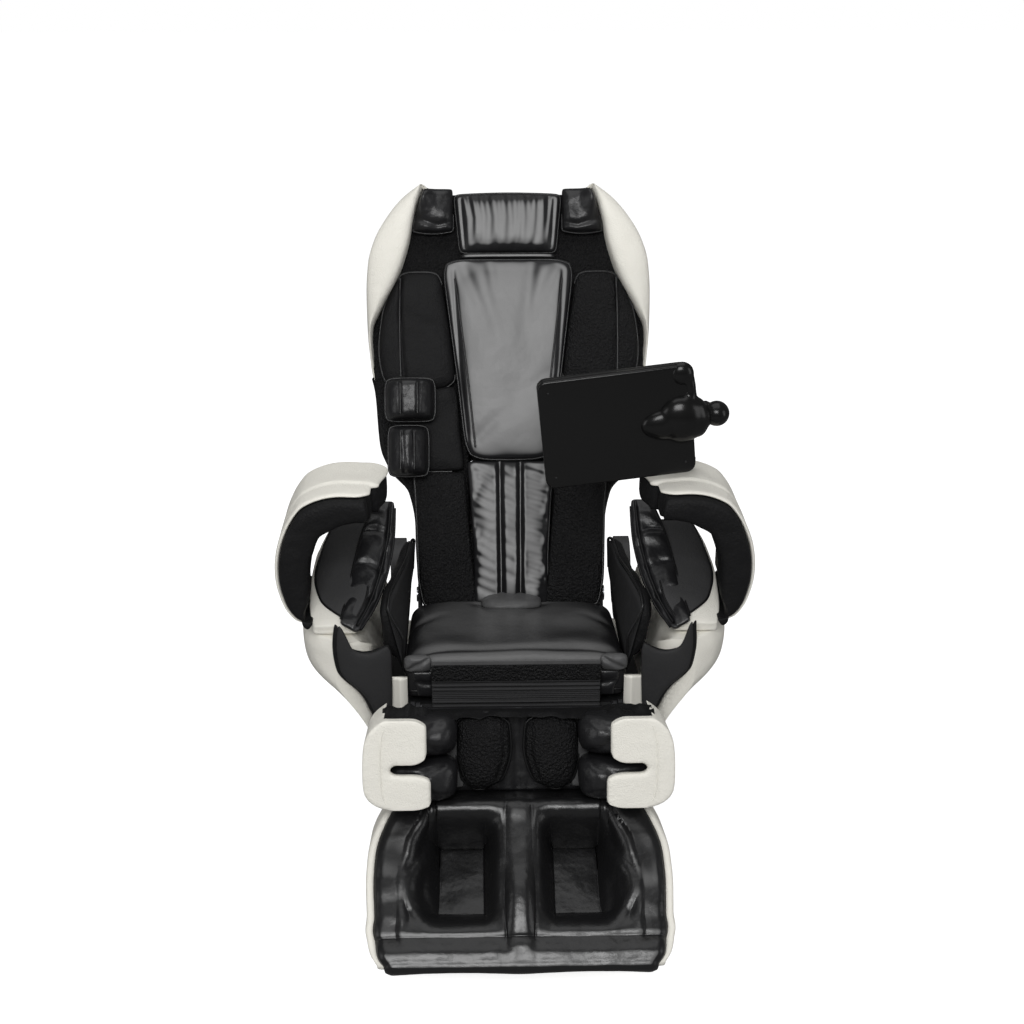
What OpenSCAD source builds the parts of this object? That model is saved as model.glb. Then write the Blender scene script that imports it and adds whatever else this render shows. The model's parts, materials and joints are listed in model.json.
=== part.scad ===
// Full-body massage chair: a steel base, a tilting chassis with side covers and
// arm units, a reclining backrest with its kneading carriage, a rising leg rest
// with a sliding foot unit, and a touch tablet on a swivel post.
// Millimetres. +Z is up, the sitter faces -Y, and the floor is Z = 0.

/* [Base] */
// Distance between the centre lines of the two base rails
rail_span = 330; // [320:2:332]
// Length of the base rails
rail_len = 560; // [540:5:580]
// Height and width of the base rail tube
rail_size = 40; // [36:1:44]
// Wall of the base rail tube
rail_wall = 2.5; // [2:0.5:4]
// Height of the rubber feet
foot_h = 20; // [16:1:24]
// Diameter of the rubber feet
foot_d = 50; // [40:1:60]
// Diameter of the transport wheels
wheel_d = 70; // [60:1:74]
// Width of a transport wheel
wheel_w = 24; // [20:1:28]
// Diameter of the wheel axle
axle_d = 12; // [10:0.5:16]

/* [Chassis] */
// Width of the seat cushion
seat_w = 428; // [420:2:440]
// Depth of the seat cushion from front to rear
seat_len = 420; // [400:5:424]
// Height of the seat cushion's front edge above the floor
seat_z = 482; // [476:1:488]
// Slope of the seat, down towards the rear
seat_slope = 10; // [9:0.5:11]
// Thickness of the seat cushion at its crown
cushion_t = 96; // [90:1:100]
// Thickness of a hip bolster
bolster_t = 38; // [32:1:42]
// Thickness of the seat board
board_t = 12; // [9:1:15]
// Thickness of the seat frame's side plates
plate_t = 8; // [6:1:10]
// Diameter of the seat frame's cross tubes
cross_d = 22; // [18:1:24]
// Diameter of the recline, leg and tilt pins
pin_d = 20; // [16:1:24]
// Width of a side cover at its widest
cover_w = 168; // [160:1:180]
// Wall of the moulded covers
cover_wall = 5; // [4:0.5:7]
// Furthest that the whole seat tilts back, in degrees
tilt_max = 12; // [8:1:12]

/* [Arm units] */
// Width of an arm unit, from its inner tip to its outer wall
arm_w = 213; // [206:1:222]
// Height of the arm units above the floor
arm_z = 818; // [806:1:830]
// Thickness of the padded liner inside an arm unit
liner_t = 50; // [44:1:56]
// Wall of the arm unit's outer shell
arm_wall = 7; // [5:0.5:9]
// Width of the forearm pad
forearm_w = 104; // [96:1:108]
// Thickness of the forearm pad
forearm_t = 36; // [30:1:40]

/* [Backrest] */
// Lean of the backrest from upright
back_lean = 24; // [23:0.5:25]
// Furthest that the backrest reclines from there, in degrees
recline_max = 46; // [36:1:48]
// Length of the backrest from its hinge to the tips of its wings
back_len = 884; // [876:2:892]
// Widest part of the backrest's shell
shell_w = 610; // [600:2:620]
// Depth of the backrest from its hinge line to the back of its shell
back_depth = 172; // [166:1:178]
// Wall of the backrest's shell
shell_wall = 5; // [4:0.5:7]
// Length of the long back cushion
pad_len = 424; // [410:2:428]
// Width of the long back cushion at its top
pad_w = 286; // [276:2:296]
// Thickness of the long back cushion
pad_t = 46; // [38:1:52]
// Width of the head pillow
pillow_w = 226; // [216:2:236]
// Height of the head pillow
pillow_h = 124; // [116:1:130]
// Thickness of the head pillow
pillow_t = 44; // [36:1:50]
// Size of the square tube of the back frame
back_tube = 30; // [26:1:32]

/* [Massage carriage] */
// Travel of the kneading carriage along the back
carriage_travel = 330; // [250:5:340]
// Diameter of a kneading roller
roller_d = 60; // [54:1:64]
// Width of a kneading roller
roller_w = 32; // [28:1:36]
// Diameter of the lead screw
screw_d = 18; // [14:1:20]

/* [Leg rest] */
// Width over the calf and foot units
leg_w = 544; // [534:2:552]
// Height of the calf shells
calf_h = 165; // [158:1:170]
// Depth of the calf shells from back panel to front face
calf_depth = 150; // [142:1:158]
// Lean of the leg rest, forwards and down
leg_lean = 15; // [14:0.5:16]
// Furthest that the leg rest rises, in degrees
leg_max = 75; // [60:1:78]
// Travel of the foot unit along the leg
foot_travel = 110; // [80:5:120]
// Wall of the white leg mouldings
leg_wall = 16; // [12:1:18]
// Slope of the foot unit's rim, down towards the toes
rim_slope = 37.6; // [36:0.2:39]

/* [Tablet] */
// Width of the tablet
tablet_w = 280; // [270:2:290]
// Height of the tablet
tablet_h = 214; // [200:2:216]
// Thickness of the tablet case
tablet_t = 24; // [20:1:28]
// Diameter of the joint ball
ball_d = 50; // [44:1:52]
// Diameter of the tablet post
post_d = 40; // [34:1:42]

/* [Hidden] */
$fn = 48;

// Colours
cream = [0.86, 0.85, 0.80];
black = [0.06, 0.06, 0.065];
charcoal = [0.13, 0.13, 0.14];
grey = [0.24, 0.24, 0.25];
steel = [0.55, 0.56, 0.58];

// Clearances
gap = 0.3;       // between pieces that sit on each other
run = 0.05;      // radial, between a pin and its bore
loose = 2;       // between pieces that move past each other
slack = 1.8;     // radial, between a lever's pin and the slot it works in

// Places are given as [y, z]. The middle of the seat lies behind the middle of
// the whole chair's length, because the leg rest reaches out in front.
seat_mid = 69.7;
recline_hinge = [seat_mid + 150, 400];
leg_hinge = [seat_mid - 375, 395];
tilt_hinge = [seat_mid + 190, 150];
seat_y = seat_mid - 310;

// Base
rail_top = foot_h + rail_size;
rail_x = rail_span / 2;
rail_out = rail_x + rail_size / 2;
rail_y0 = seat_mid - 290;
rail_y1 = rail_y0 + rail_len;
cross_bar_y = [seat_mid - 180, seat_mid + 110];
bracket_t = 8;
axle_y = rail_y1 - 34;
axle_z = wheel_d / 2 + 6;
wheel_in = rail_out + loose;
wheel_out = wheel_in + wheel_w;

// Seat frame, board and the walls beside them
frame_play = 6; // between the base rails' outer faces and the seat frame's plates
plate_in = rail_out + frame_play;
plate_out = plate_in + plate_t;
ear_out = plate_in - loose;
ear_t = 8;
ear_in = ear_out - ear_t;
pin_head_t = 3;
wall_in = plate_out + gap + pin_head_t + loose;
board_x = seat_w / 2 + gap + bolster_t;
cover_in = board_x + 3;
cover_out = cover_in + cover_w;
cover_top = 524;
cover_bottom = 115;
cover_y0 = seat_mid - 330;
cover_y1 = seat_mid + 290;
wall_y1 = seat_mid + 250;
apron_t = 18;
apron_x = ear_in - 2;
cushion_waist = 0.015;
// How far the cushion's front edge draws in beside the apron's ends
cushion_draw = cushion_waist * seat_len / 2 * (1 - pow(2 * apron_x / seat_w, 2));
function board_under(y) =
    seat_z - (y - seat_y) * tan(seat_slope) - (cushion_t + board_t) / cos(seat_slope);

// Levers and actuators: each lever swings evenly about straight down, and its pin
// works in an upright slot in the end of the actuator's rod
lever_pin_d = 16;
lever_t = 10;
lever_w = 24;
rod_d = 18;
barrel_d = 34;
fork_w = 30;
back_lever = 125;
leg_lever = 90;
back_swing = recline_max / 2;
leg_swing = leg_max / 2;
back_rod_z = recline_hinge[1] - back_lever * (1 + cos(back_swing)) / 2;
leg_rod_z = leg_hinge[1] - leg_lever * (1 + cos(leg_swing)) / 2;
back_lever_x = 70;
leg_lever_x = -70;
front_tube = [seat_mid - 240, 238];
leg_tube = [seat_mid - 100, leg_rod_z];
back_tube_eye = [seat_mid - 130, back_rod_z];
rear_tube = [seat_mid + 60, 215];

// Arm units: the shell's section is an ellipse open towards the sitter
arm_in = cover_in - 13;
arm_out = arm_in + arm_w;
arm_mid = [arm_out - 135, 625];
arm_r = [135, arm_z - arm_mid[1]];
arm_tip_angle = acos((arm_in - arm_mid[0]) / arm_r[0]);
arm_y0 = seat_mid - 320;
arm_y1 = seat_mid - 100;
forearm_y = [seat_mid - 300, seat_mid + 80];
liner_side = liner_t - 10;
forearm_x = 322;

// Backrest, in its own frame: x across, y back from the hinge, z up along it
wing_x = shell_w / 2;
hip_x = plate_out + loose;
tip_x = 190;
shell_z0 = 36;
board_z0 = -8;
board_front = -46;
board_back = -30;
pad_plane = board_front - gap;
back_tube_x = ear_in - back_tube / 2;
back_tube_y = board_back + gap;
window_x = 86;
window_z = [128, 720];
screw_y = 75;
screw_z = [30, back_len - 110];
carriage_z = 150;
carriage_h = 150;
carriage_x = back_tube_x - back_tube / 2 - 1;
knead = [10, carriage_z + carriage_h / 2];
knead_d = 16;
spindle_d = 10;
spindle_reach = 60;
spindle_y = -2;
arm_x = 36;
arm_t = 10;

// Leg rest, in its own frame: x across, y back from the hinge, z up along it
calf_top = 20;
calf_back = -22;
calf_front = calf_back - calf_depth;
calf_panel_t = 23;
finger_x = 165;
finger_t = 22;
rail_bar = 22;
guide_size = 30;
guide_x = 120;
guide_z = [-215, -36];

// Foot unit, in the leg rest's frame, as [y, z]
foot_back = -24;
foot_tilt = rim_slope + leg_lean;
rim_len = 298;
rim_top = [-96, calf_top - calf_h - 3];
rim_dir = [cos(foot_tilt), sin(foot_tilt)];
rim_in = [sin(foot_tilt), -cos(foot_tilt)];
function rim(s) = rim_top - (rim_len - s) * rim_dir;
toe_edge = rim(0) + [6, -10];
toe_bottom = rim(0) + [84, -18];
sole_low = [-150, toe_bottom[1] - 6];
sole_mid = [-110, toe_bottom[1] + 2];
heel_low = [foot_back, toe_bottom[1] + 40];
pan_t = 8;
well_x = [28, 205];
well_front = 60;
well_depth = 40;
sole_dir = [cos(leg_lean + 18), sin(leg_lean + 18)];
sole_front = rim(well_front) + well_depth * rim_in;
sole_heel = sole_front + 190 * sole_dir;
foot_roller = sole_front + 118 * sole_dir + 29 * [sole_dir[1], -sole_dir[0]];
foot_roller_d = 30;
spindle_foot_d = 12;

// Tablet: its frame has the joint ball at the origin, x along its long axis and
// the screen on the +y side
post_at = [316, seat_mid - 160];
post_z = arm_z + gap;
collar_h = 42;
ball_at = [370, seat_mid - 250, 943];
collar_z = ball_at[2] - 12;
post_h = collar_z + collar_h / 2 + 30 - post_z;
tablet_yaw = 3;
tablet_roll = 6;
tablet_lean = 4;
tablet_x = 45;
stud_d = 12;
stud_len = 52;
screen_t = 3;

function arc(c, r, a0, a1, n) =
    [for (i = [0:n]) let (a = a0 + (a1 - a0) * i / n) [c[0] + r[0] * cos(a), c[1] + r[1] * sin(a)]];
function bend(p, n) =
    [for (i = [0:n]) let (t = i / n, s = 1 - t)
        s * s * s * p[0] + 3 * s * s * t * p[1] + 3 * s * t * t * p[2] + t * t * t * p[3]];
function turned_back(points) = [for (i = [len(points) - 1:-1:0]) points[i]];
function flipped(points) = [for (p = turned_back(points)) [-p[0], p[1]]];

// Extrudes an outline drawn in XZ along Y, from y0 to y1
module along_y(y0, y1) translate([0, y1, 0]) rotate([90, 0, 0]) linear_extrude(y1 - y0) children();
// Extrudes an outline drawn in YZ along X, from x0 to x1
module along_x(x0, x1) translate([x0, 0, 0]) rotate([90, 0, 90]) linear_extrude(x1 - x0) children();
module box(lo, hi) translate(lo) cube(hi - lo);
module rod_x(at, d, x0, x1) translate([x0, at[0], at[1]]) rotate([0, 90, 0]) cylinder(d = d, h = x1 - x0);
module rod_y(x, z, d, y0, y1) translate([x, y0, z]) rotate([-90, 0, 0]) cylinder(d = d, h = y1 - y0);
module both_sides() { children(); mirror([1, 0, 0]) children(); }
module on_side(side) mirror([side < 0 ? 1 : 0, 0, 0]) children();
// A flat bar with round ends, drawn between two points
module link(a, b, w) {
    d = b - a;
    translate(a) circle(d = w);
    translate(b) circle(d = w);
    translate(a) rotate(atan2(d[1], d[0])) translate([0, -w / 2]) square([norm(d), w]);
}
module slab(w, h, r) {
    square([w - 2 * r, h], center = true);
    square([w, h - 2 * r], center = true);
    for (x = [-1, 1], y = [-1, 1]) translate([x * (w / 2 - r), y * (h / 2 - r)]) circle(r = r);
}

// Frames of the assemblies that lean or move, at rest
module in_seat() translate([0, seat_y, seat_z]) rotate([-seat_slope, 0, 0]) children();
module in_back() translate([0, recline_hinge[0], recline_hinge[1]]) rotate([-back_lean, 0, 0]) children();
module in_leg() translate([0, leg_hinge[0], leg_hinge[1]]) rotate([-leg_lean, 0, 0]) children();
module in_tablet() translate(ball_at)
    rotate([0, -tablet_roll, 0]) rotate([0, 0, tablet_yaw]) rotate([tablet_lean, 0, 0]) children();

// A stuffed pad. Its flat back lies on Y = 0 and its crown faces -Y; it is w wide
// and l long along Z, edge thick at its rim and t thick at its crown. The sides
// draw in by waist between the corners, narrow by taper towards the bottom, and
// rise by slant along the top. Channels are sewn in along Z at the X positions
// in channels, and folds rucks gather along the two ends.
module pad(w, l, t, edge, n = 12, waist = 0.02, taper = 0, channels = [], belly = 0,
           slant = 0, folds = 0) {
    function half_w(v) = w / 2 * (1 - taper * (1 - v) / 2) * (1 - waist * (1 - v * v));
    function half_l(u) = l / 2 * (1 - waist * (1 - u * u));
    function crown(u, v) = sqrt(max(0, (1 - pow(u, 4)) * (1 - pow(v, 4))));
    function groove(x) = len(channels) == 0 ? 0
        : max([for (c = channels) exp(-pow((x - c) / (0.04 * w), 2))]);
    function ruck(u, v) = folds * pow(v, 4) * (1 - pow(u, 4)) * (0.5 + 0.5 * cos(u * 900));
    function place(u, v) = let (x = u * half_w(v))
        [x, -(edge + (t - edge) * crown(u, v) * (1 - 0.5 * groove(x)) - ruck(u, v)),
         v * half_l(u) + slant * x * (1 + v) / 2 - belly * (1 - u * u) * (1 - v) / 2];
    m = n + 1;
    front = [for (j = [0:n]) for (i = [0:n]) place(2 * i / n - 1, 2 * j / n - 1)];
    ring = concat([for (i = [0:n]) i], [for (j = [1:n]) j * m + n],
                  [for (i = [n - 1:-1:0]) n * m + i], [for (j = [n - 1:-1:1]) j * m]);
    base = len(front);
    back = [for (k = ring) [front[k][0], 0, front[k][2]]];
    skin = [for (j = [0:n - 1]) for (i = [0:n - 1]) let (a = j * m + i)
        each [[a, a + m + 1, a + 1], [a, a + m, a + m + 1]]];
    rim = [for (k = [0:len(ring) - 1]) let (k2 = (k + 1) % len(ring))
        each [[ring[k], ring[k2], base + k2], [ring[k], base + k2, base + k],
              [base + len(ring), base + k, base + k2]]];
    polyhedron(concat(front, back, [[0, 0, 0]]), concat(skin, rim), convexity = 6);
}

// --- Base ---------------------------------------------------------------

module rail_tubes(inset) {
    both_sides()
        box([rail_x - rail_size / 2 + inset, rail_y0 - inset, foot_h + inset],
            [rail_out - inset, rail_y1 + inset, rail_top - inset]);
    for (y = cross_bar_y)
        box([-rail_x, y - rail_size / 2 + inset, foot_h + inset],
            [rail_x, y + rail_size / 2 - inset, rail_top - inset]);
}

module base_frame() color(charcoal) difference() {
    union() {
        difference() {
            rail_tubes(0);
            rail_tubes(rail_wall);
        }
        both_sides() along_x(rail_out - bracket_t, rail_out) {
            polygon([[tilt_hinge[0] - 45, rail_top - 1], [tilt_hinge[0] + 40, rail_top - 1],
                     [tilt_hinge[0] + pin_d, tilt_hinge[1]], [tilt_hinge[0] - pin_d, tilt_hinge[1]]]);
            translate(tilt_hinge) circle(d = 2 * pin_d + 6);
        }
        // The seat frame's front tube rests on these two posts
        both_sides()
            box([rail_x - 14, front_tube[0] - 16, rail_top - 1],
                [rail_x + 14, front_tube[0] + 16, front_tube[1] - cross_d / 2 - gap]);
    }
    rod_x([axle_y, axle_z], axle_d + 2 * run, -rail_out - 1, rail_out + 1);
    rod_x(tilt_hinge, pin_d + 2 * run, -rail_out - 1, rail_out + 1);
}

module base_feet() color(black) both_sides()
    for (y = [rail_y0 + 40, rail_y1 - 90]) translate([rail_x, y, 0]) {
        cylinder(d = foot_d, h = foot_h - gap);
        cylinder(d = foot_d - 24, h = foot_h);
    }

module wheel_axle() color(steel) {
    rod_x([axle_y, axle_z], axle_d, -wheel_out - 1, wheel_out + 1);
    both_sides() rod_x([axle_y, axle_z], axle_d + 10, wheel_out + 1, wheel_out + 4);
}

module wheel(side) color(black) on_side(side) difference() {
    rod_x([axle_y, axle_z], wheel_d, wheel_in, wheel_out);
    rod_x([axle_y, axle_z], wheel_d - 22, wheel_out - 5, wheel_out + 1);
    rod_x([axle_y, axle_z], axle_d + 2 * run, wheel_in - 1, wheel_out + 1);
}

power_lo = [-70, cross_bar_y[1] - 55, rail_top + gap];
power_hi = [70, cross_bar_y[1] + 60, rail_top + 62];
inlet_size = [50, 28];
inlet_at = [-30, rail_top + 32];
rocker_at = [38, rail_top + 32];
rocker_size = [24, 20, 34];

module power_box() color(charcoal) difference() {
    box(power_lo, power_hi);
    along_y(power_hi[1] - 30, power_hi[1] + 1) translate(inlet_at) square(inlet_size, center = true);
    along_y(power_hi[1] - rocker_size[1], power_hi[1] + 1)
        translate(rocker_at) square([rocker_size[0], rocker_size[2]], center = true);
}

module mains_inlet() color(black) {
    difference() {
        along_y(power_hi[1] - 28, power_hi[1] + 3) translate(inlet_at)
            square(inlet_size - [2 * gap, 2 * gap], center = true);
        along_y(power_hi[1] - 15, power_hi[1] + 4) translate(inlet_at) square([27, 19], center = true);
    }
    for (x = [-7, 0, 7])
        box([inlet_at[0] + x - 1, power_hi[1] - 16, inlet_at[1] - (x == 0 ? -1 : 5)],
            [inlet_at[0] + x + 1, power_hi[1] - 3, inlet_at[1] + (x == 0 ? 5 : -1)]);
}

rocker_pivot = [power_hi[1] - 9, rocker_at[1]];

module power_rocker() color(black) intersection() {
    along_x(rocker_at[0] - rocker_size[0] / 2 + gap, rocker_at[0] + rocker_size[0] / 2 - gap)
        translate(rocker_pivot) polygon([[-8, -3], [-8, 3], [9, 14], [6.5, 0], [9, -14]]);
    rod_x(rocker_pivot, 2 * 16.6, rocker_at[0] - 20, rocker_at[0] + 20);
}

module pump_unit() color(charcoal) {
    box([-105, cross_bar_y[0] - 60, rail_top + gap], [105, cross_bar_y[0] + 60, rail_top + 70]);
    both_sides() translate([55, cross_bar_y[0], rail_top + 69]) cylinder(d = 78, h = 40);
}

// --- Seat frame and its carried parts ------------------------------------

module seat_plate() difference() {
    union() {
        polygon([leg_hinge + [-18, -8], leg_hinge + [0, -22],
                 [seat_mid - 318, board_under(seat_mid - 318) - gap],
                 [seat_mid + 82, board_under(seat_mid + 82) - gap],
                 [seat_mid + 110, 330], recline_hinge + [-24, 0], recline_hinge + [22, -6],
                 tilt_hinge + [25, 0], tilt_hinge + [-20, -14],
                 [seat_mid - 60, 190], [seat_mid - 300, 224]]);
        translate(leg_hinge) circle(d = pin_d + 24);
        translate(recline_hinge) circle(d = pin_d + 28);
        translate(tilt_hinge) circle(d = pin_d + 30);
    }
    for (at = [leg_hinge, recline_hinge, tilt_hinge]) translate(at) circle(d = pin_d + 2 * run);
    translate([seat_mid + 10, 245]) circle(d = 60);
    translate([seat_mid - 185, 292]) circle(d = 50);
}

module seat_frame() color(charcoal) {
    both_sides() along_x(plate_in, plate_out) seat_plate();
    for (at = [front_tube, rear_tube]) rod_x(at, cross_d, -wall_in + gap, wall_in - gap);
    for (at = [leg_tube, back_tube_eye]) rod_x(at, cross_d, -plate_in - 1, plate_in + 1);
}

// A headed pin that joins two plates lying between x0 and x1
module hinge_pin(at, x0, x1) {
    rod_x(at, pin_d, x0 - gap - pin_head_t, x1 + gap + pin_head_t);
    rod_x(at, pin_d + 12, x0 - gap - pin_head_t, x0 - gap);
    rod_x(at, pin_d + 12, x1 + gap, x1 + gap + pin_head_t);
}

module hinge_pins() color(steel) both_sides() {
    hinge_pin(recline_hinge, ear_in, plate_out);
    hinge_pin(leg_hinge, ear_in, plate_out);
    hinge_pin(tilt_hinge, rail_out - bracket_t, plate_out);
}

module seat_board() color(black) in_seat()
    box([-board_x, 4, -cushion_t - board_t], [board_x, seat_len - 6, -cushion_t - gap]);

module seat_cushion() color(black) in_seat()
    translate([0, seat_len / 2, -cushion_t]) rotate([-90, 0, 0])
        pad(seat_w, seat_len, cushion_t, cushion_t - 34, n = 16, waist = cushion_waist);

module hip_bolsters() color(black) in_seat() both_sides()
    translate([seat_w / 2 + gap, 172, 10]) rotate([0, 0, 90])
        pad(320, 2 * (cushion_t + 10), bolster_t, 12, n = 12, waist = 0.03, slant = 0.28);

module front_apron() color(black) {
    front = seat_y - cushion_t * sin(seat_slope) + cushion_draw * cos(seat_slope) - gap - apron_t;
    pleat = 13;
    top = 470;
    rear = [[front + apron_t, top], [front + apron_t, top - 7.5 * pleat]];
    folds = [for (i = [0:15]) [front + (i % 2 == 0 ? 6 : 0), top - 7.5 * pleat + i * pleat / 2]];
    along_x(-apron_x, apron_x) polygon(concat(rear, folds));
}

// --- Side covers ----------------------------------------------------------

// Section of a side cover across the chair: it bulges below the arm unit and
// draws in again towards the floor
module cover_section() polygon(concat(
    [[cover_in, cover_bottom], [cover_in, cover_top], [cover_out - 14, cover_top]],
    bend([[cover_out - 14, cover_top], [cover_out + 2, 470], [cover_out + 2, 420], [cover_out - 6, 392]], 8),
    bend([[cover_out - 6, 392], [cover_out - 40, 340], [cover_in + 32, 250], [cover_in + 14, cover_bottom]], 10)
));
module cover_side() polygon(concat(
    [[cover_y0, 262], [cover_y0, cover_top], [forearm_y[1] + 40, cover_top]],
    bend([[forearm_y[1] + 40, cover_top], [forearm_y[1] + 140, cover_top], [cover_y1, 500], [cover_y1, 400]], 10),
    bend([[cover_y1, 400], [cover_y1, 240], [cover_y1 - 10, cover_bottom], [cover_y1 - 60, cover_bottom]], 8),
    bend([[cover_y0 + 150, cover_bottom], [cover_y0 + 60, cover_bottom], [cover_y0, 180], [cover_y0, 262]], 8)
));
module cover_plan() polygon(concat(
    [[cover_in, cover_y0], [cover_in + 92, cover_y0]],
    bend([[cover_in + 92, cover_y0], [cover_out - 10, cover_y0 + 40], [cover_out, cover_y0 + 120],
          [cover_out, cover_y0 + 200]], 8),
    bend([[cover_out, cover_y1 - 140], [cover_out, cover_y1 - 60], [cover_out - 40, cover_y1],
          [cover_out - 90, cover_y1]], 8),
    [[cover_in, cover_y1]]
));
module cover_body(inset) intersection() {
    along_y(cover_y0 - 1, cover_y1 + 1) offset(delta = -inset) cover_section();
    along_x(cover_in - 1, cover_out + 20) offset(delta = -inset) cover_side();
    linear_extrude(cover_top + 1) offset(delta = -inset) cover_plan();
}
panel_x = [cover_in + 12, cover_in + 80];
panel_z = [300, cover_top - 14];

module side_cover(side) color(cream) on_side(side) difference() {
    cover_body(0);
    cover_body(cover_wall);
    box([panel_x[0], cover_y0 - 1, panel_z[0]], [panel_x[1], cover_y0 + cover_wall + 1, panel_z[1]]);
}

module side_front_panels() color(black) both_sides()
    box([panel_x[0] + gap, cover_y0 + 1, panel_z[0] + gap],
        [panel_x[1] - gap, cover_y0 + cover_wall + 4, panel_z[1] - gap]);

module inner_walls() color(cream) both_sides() difference() {
    along_x(wall_in, cover_in - gap) polygon([
        [seat_mid - 318, 262], [seat_mid - 318, board_under(seat_mid - 318) - gap],
        [seat_mid + 82, board_under(seat_mid + 82) - gap], [wall_y1, 290],
        [wall_y1, cover_bottom], [seat_mid - 180, cover_bottom]]);
    along_x(wall_in + cover_wall, cover_in) polygon([
        [seat_mid - 310, 270], [seat_mid - 310, board_under(seat_mid - 310) - 8],
        [seat_mid + 82, board_under(seat_mid + 82) - 8], [wall_y1 - 6, 284],
        [wall_y1 - 6, cover_bottom + 6], [seat_mid - 174, cover_bottom + 6]]);
}

module hinge_hubs() color(grey) both_sides() along_x(cover_in - 32, cover_in - gap)
    link(recline_hinge, recline_hinge + [18, 62], 116);

module rear_cover() color(black) {
    box([-wall_in + gap, wall_y1 - 10, cover_bottom], [wall_in - gap, wall_y1 - 5, 225]);
    box([-wall_in + 40, wall_y1 - 22, cover_bottom], [wall_in - 40, wall_y1 - 9, cover_bottom + 5]);
}

// --- Arm units --------------------------------------------------------------

function arm_curve(d) = arc(arm_mid, arm_r - d, arm_tip_angle, -52, 28);
module arm_section(d0, d1) intersection() {
    polygon(concat(arm_curve(d0), turned_back(arm_curve(d1))));
    translate([0, cover_top + gap]) square([2 * arm_out, 2 * arm_z]);
}
arm_skin = [arm_wall, arm_wall];
liner_outer = arm_skin + [gap, gap];
liner_inner = liner_outer + [liner_side, liner_t];

module arm_shell(side) color(cream) on_side(side)
    along_y(arm_y0 + 18, arm_y1) arm_section([0, 0], arm_skin);

module arm_liner(side) color(black) on_side(side)
    along_y(arm_y0, arm_y1 - 4) arm_section(liner_outer, liner_inner);

module forearm_pad(side) color(grey) on_side(side)
    translate([forearm_x, (forearm_y[0] + forearm_y[1]) / 2, cover_top + gap]) rotate([-90, 0, 0])
        pad(forearm_w, forearm_y[1] - forearm_y[0], forearm_t, 20, n = 10, waist = 0.05);

// --- Actuators ----------------------------------------------------------------

back_pin_y = recline_hinge[0] + back_lever * sin(back_swing);
back_mouth = recline_hinge[0] - back_lever * sin(back_swing) - 48;
leg_pin_y = leg_hinge[0] + leg_lever * sin(leg_swing);
leg_mouth = leg_pin_y + 48;
back_stroke = 2 * back_lever * sin(back_swing);
leg_stroke = 2 * leg_lever * sin(leg_swing);
rod_grip = 40;

// The fork at a rod's end, with its slot for the lever's pin. dir points from
// the pin to the rod.
module rod_fork(x, y, z, lever, swing, dir) {
    rise = lever * (1 - cos(swing)) / 2;
    reach = lever_pin_d / 2 + slack;
    tall = reach + rise + 7;
    difference() {
        box([x - fork_w / 2, y - (dir > 0 ? 20 : 40), z - tall],
            [x + fork_w / 2, y + (dir > 0 ? 40 : 20), z + tall]);
        box([x - lever_t / 2 - 1, y - (dir > 0 ? 21 : 25), z - tall - 1],
            [x + lever_t / 2 + 1, y + (dir > 0 ? 25 : 21), z + tall + 1]);
        box([x - fork_w, y - reach, z - reach - rise], [x + fork_w, y + reach, z + reach + rise]);
    }
}

module back_rod() color(steel) {
    rod_fork(back_lever_x, back_pin_y, back_rod_z, back_lever, back_swing, -1);
    rod_y(back_lever_x, back_rod_z, rod_d, back_mouth - rod_grip, back_pin_y - 39);
}

module leg_rod() color(steel) {
    rod_fork(leg_lever_x, leg_pin_y, leg_rod_z, leg_lever, leg_swing, 1);
    rod_y(leg_lever_x, leg_rod_z, rod_d, leg_pin_y + 39, leg_mouth + leg_stroke + rod_grip);
}

// A barrel along Y with its eye round a cross tube and a motor slung below it
module actuator(x, z, mouth, bottom, eye, dir) {
    depth = bottom - dir * 4;
    far = max(mouth, depth);
    near = min(mouth, depth);
    difference() {
        union() {
            rod_y(x, z, barrel_d, min(mouth, eye), max(mouth, eye));
            rod_x([eye, z], barrel_d, x - 14, x + 14);
            rod_y(x, z - 42, barrel_d, (mouth + bottom) / 2 - 55, (mouth + bottom) / 2 + 45);
            box([x - 12, (mouth + bottom) / 2 - 40, z - 42], [x + 12, (mouth + bottom) / 2 + 30, z]);
        }
        rod_y(x, z, rod_d + 2 * run, near - 1, far + 1);
        rod_x([eye, z], cross_d + 2 * run, x - barrel_d / 2 - 1, x + barrel_d / 2 + 1);
    }
}

module back_actuator() color(charcoal)
    actuator(back_lever_x, back_rod_z, back_mouth, back_mouth - back_stroke - rod_grip,
             back_tube_eye[0], 1);

module leg_actuator() color(charcoal)
    actuator(leg_lever_x, leg_rod_z, leg_mouth, leg_mouth + leg_stroke + rod_grip,
             leg_tube[0], -1);

// --- Backrest -------------------------------------------------------------------

// Outline of the backrest seen from the front: narrow between the side covers,
// widest at the shoulders, with a wing tip on each side of the head
function back_edge() = concat(
    [[hip_x - 5, shell_z0], [hip_x, 150]],
    bend([[hip_x, 150], [hip_x + 4, 225], [wing_x - 46, 255], [wing_x - 30, 320]], 8),
    bend([[wing_x - 30, 320], [wing_x - 16, 430], [wing_x, 520], [wing_x, 640]], 8),
    bend([[wing_x, 640], [wing_x, 740], [wing_x - 40, 850], [tip_x, back_len]], 12),
    bend([[tip_x, back_len], [tip_x - 30, back_len - 4], [tip_x - 40, back_len - 16],
          [tip_x - 70, back_len - 20]], 6));
module back_outline() polygon(concat(back_edge(), flipped(back_edge())));
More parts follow.
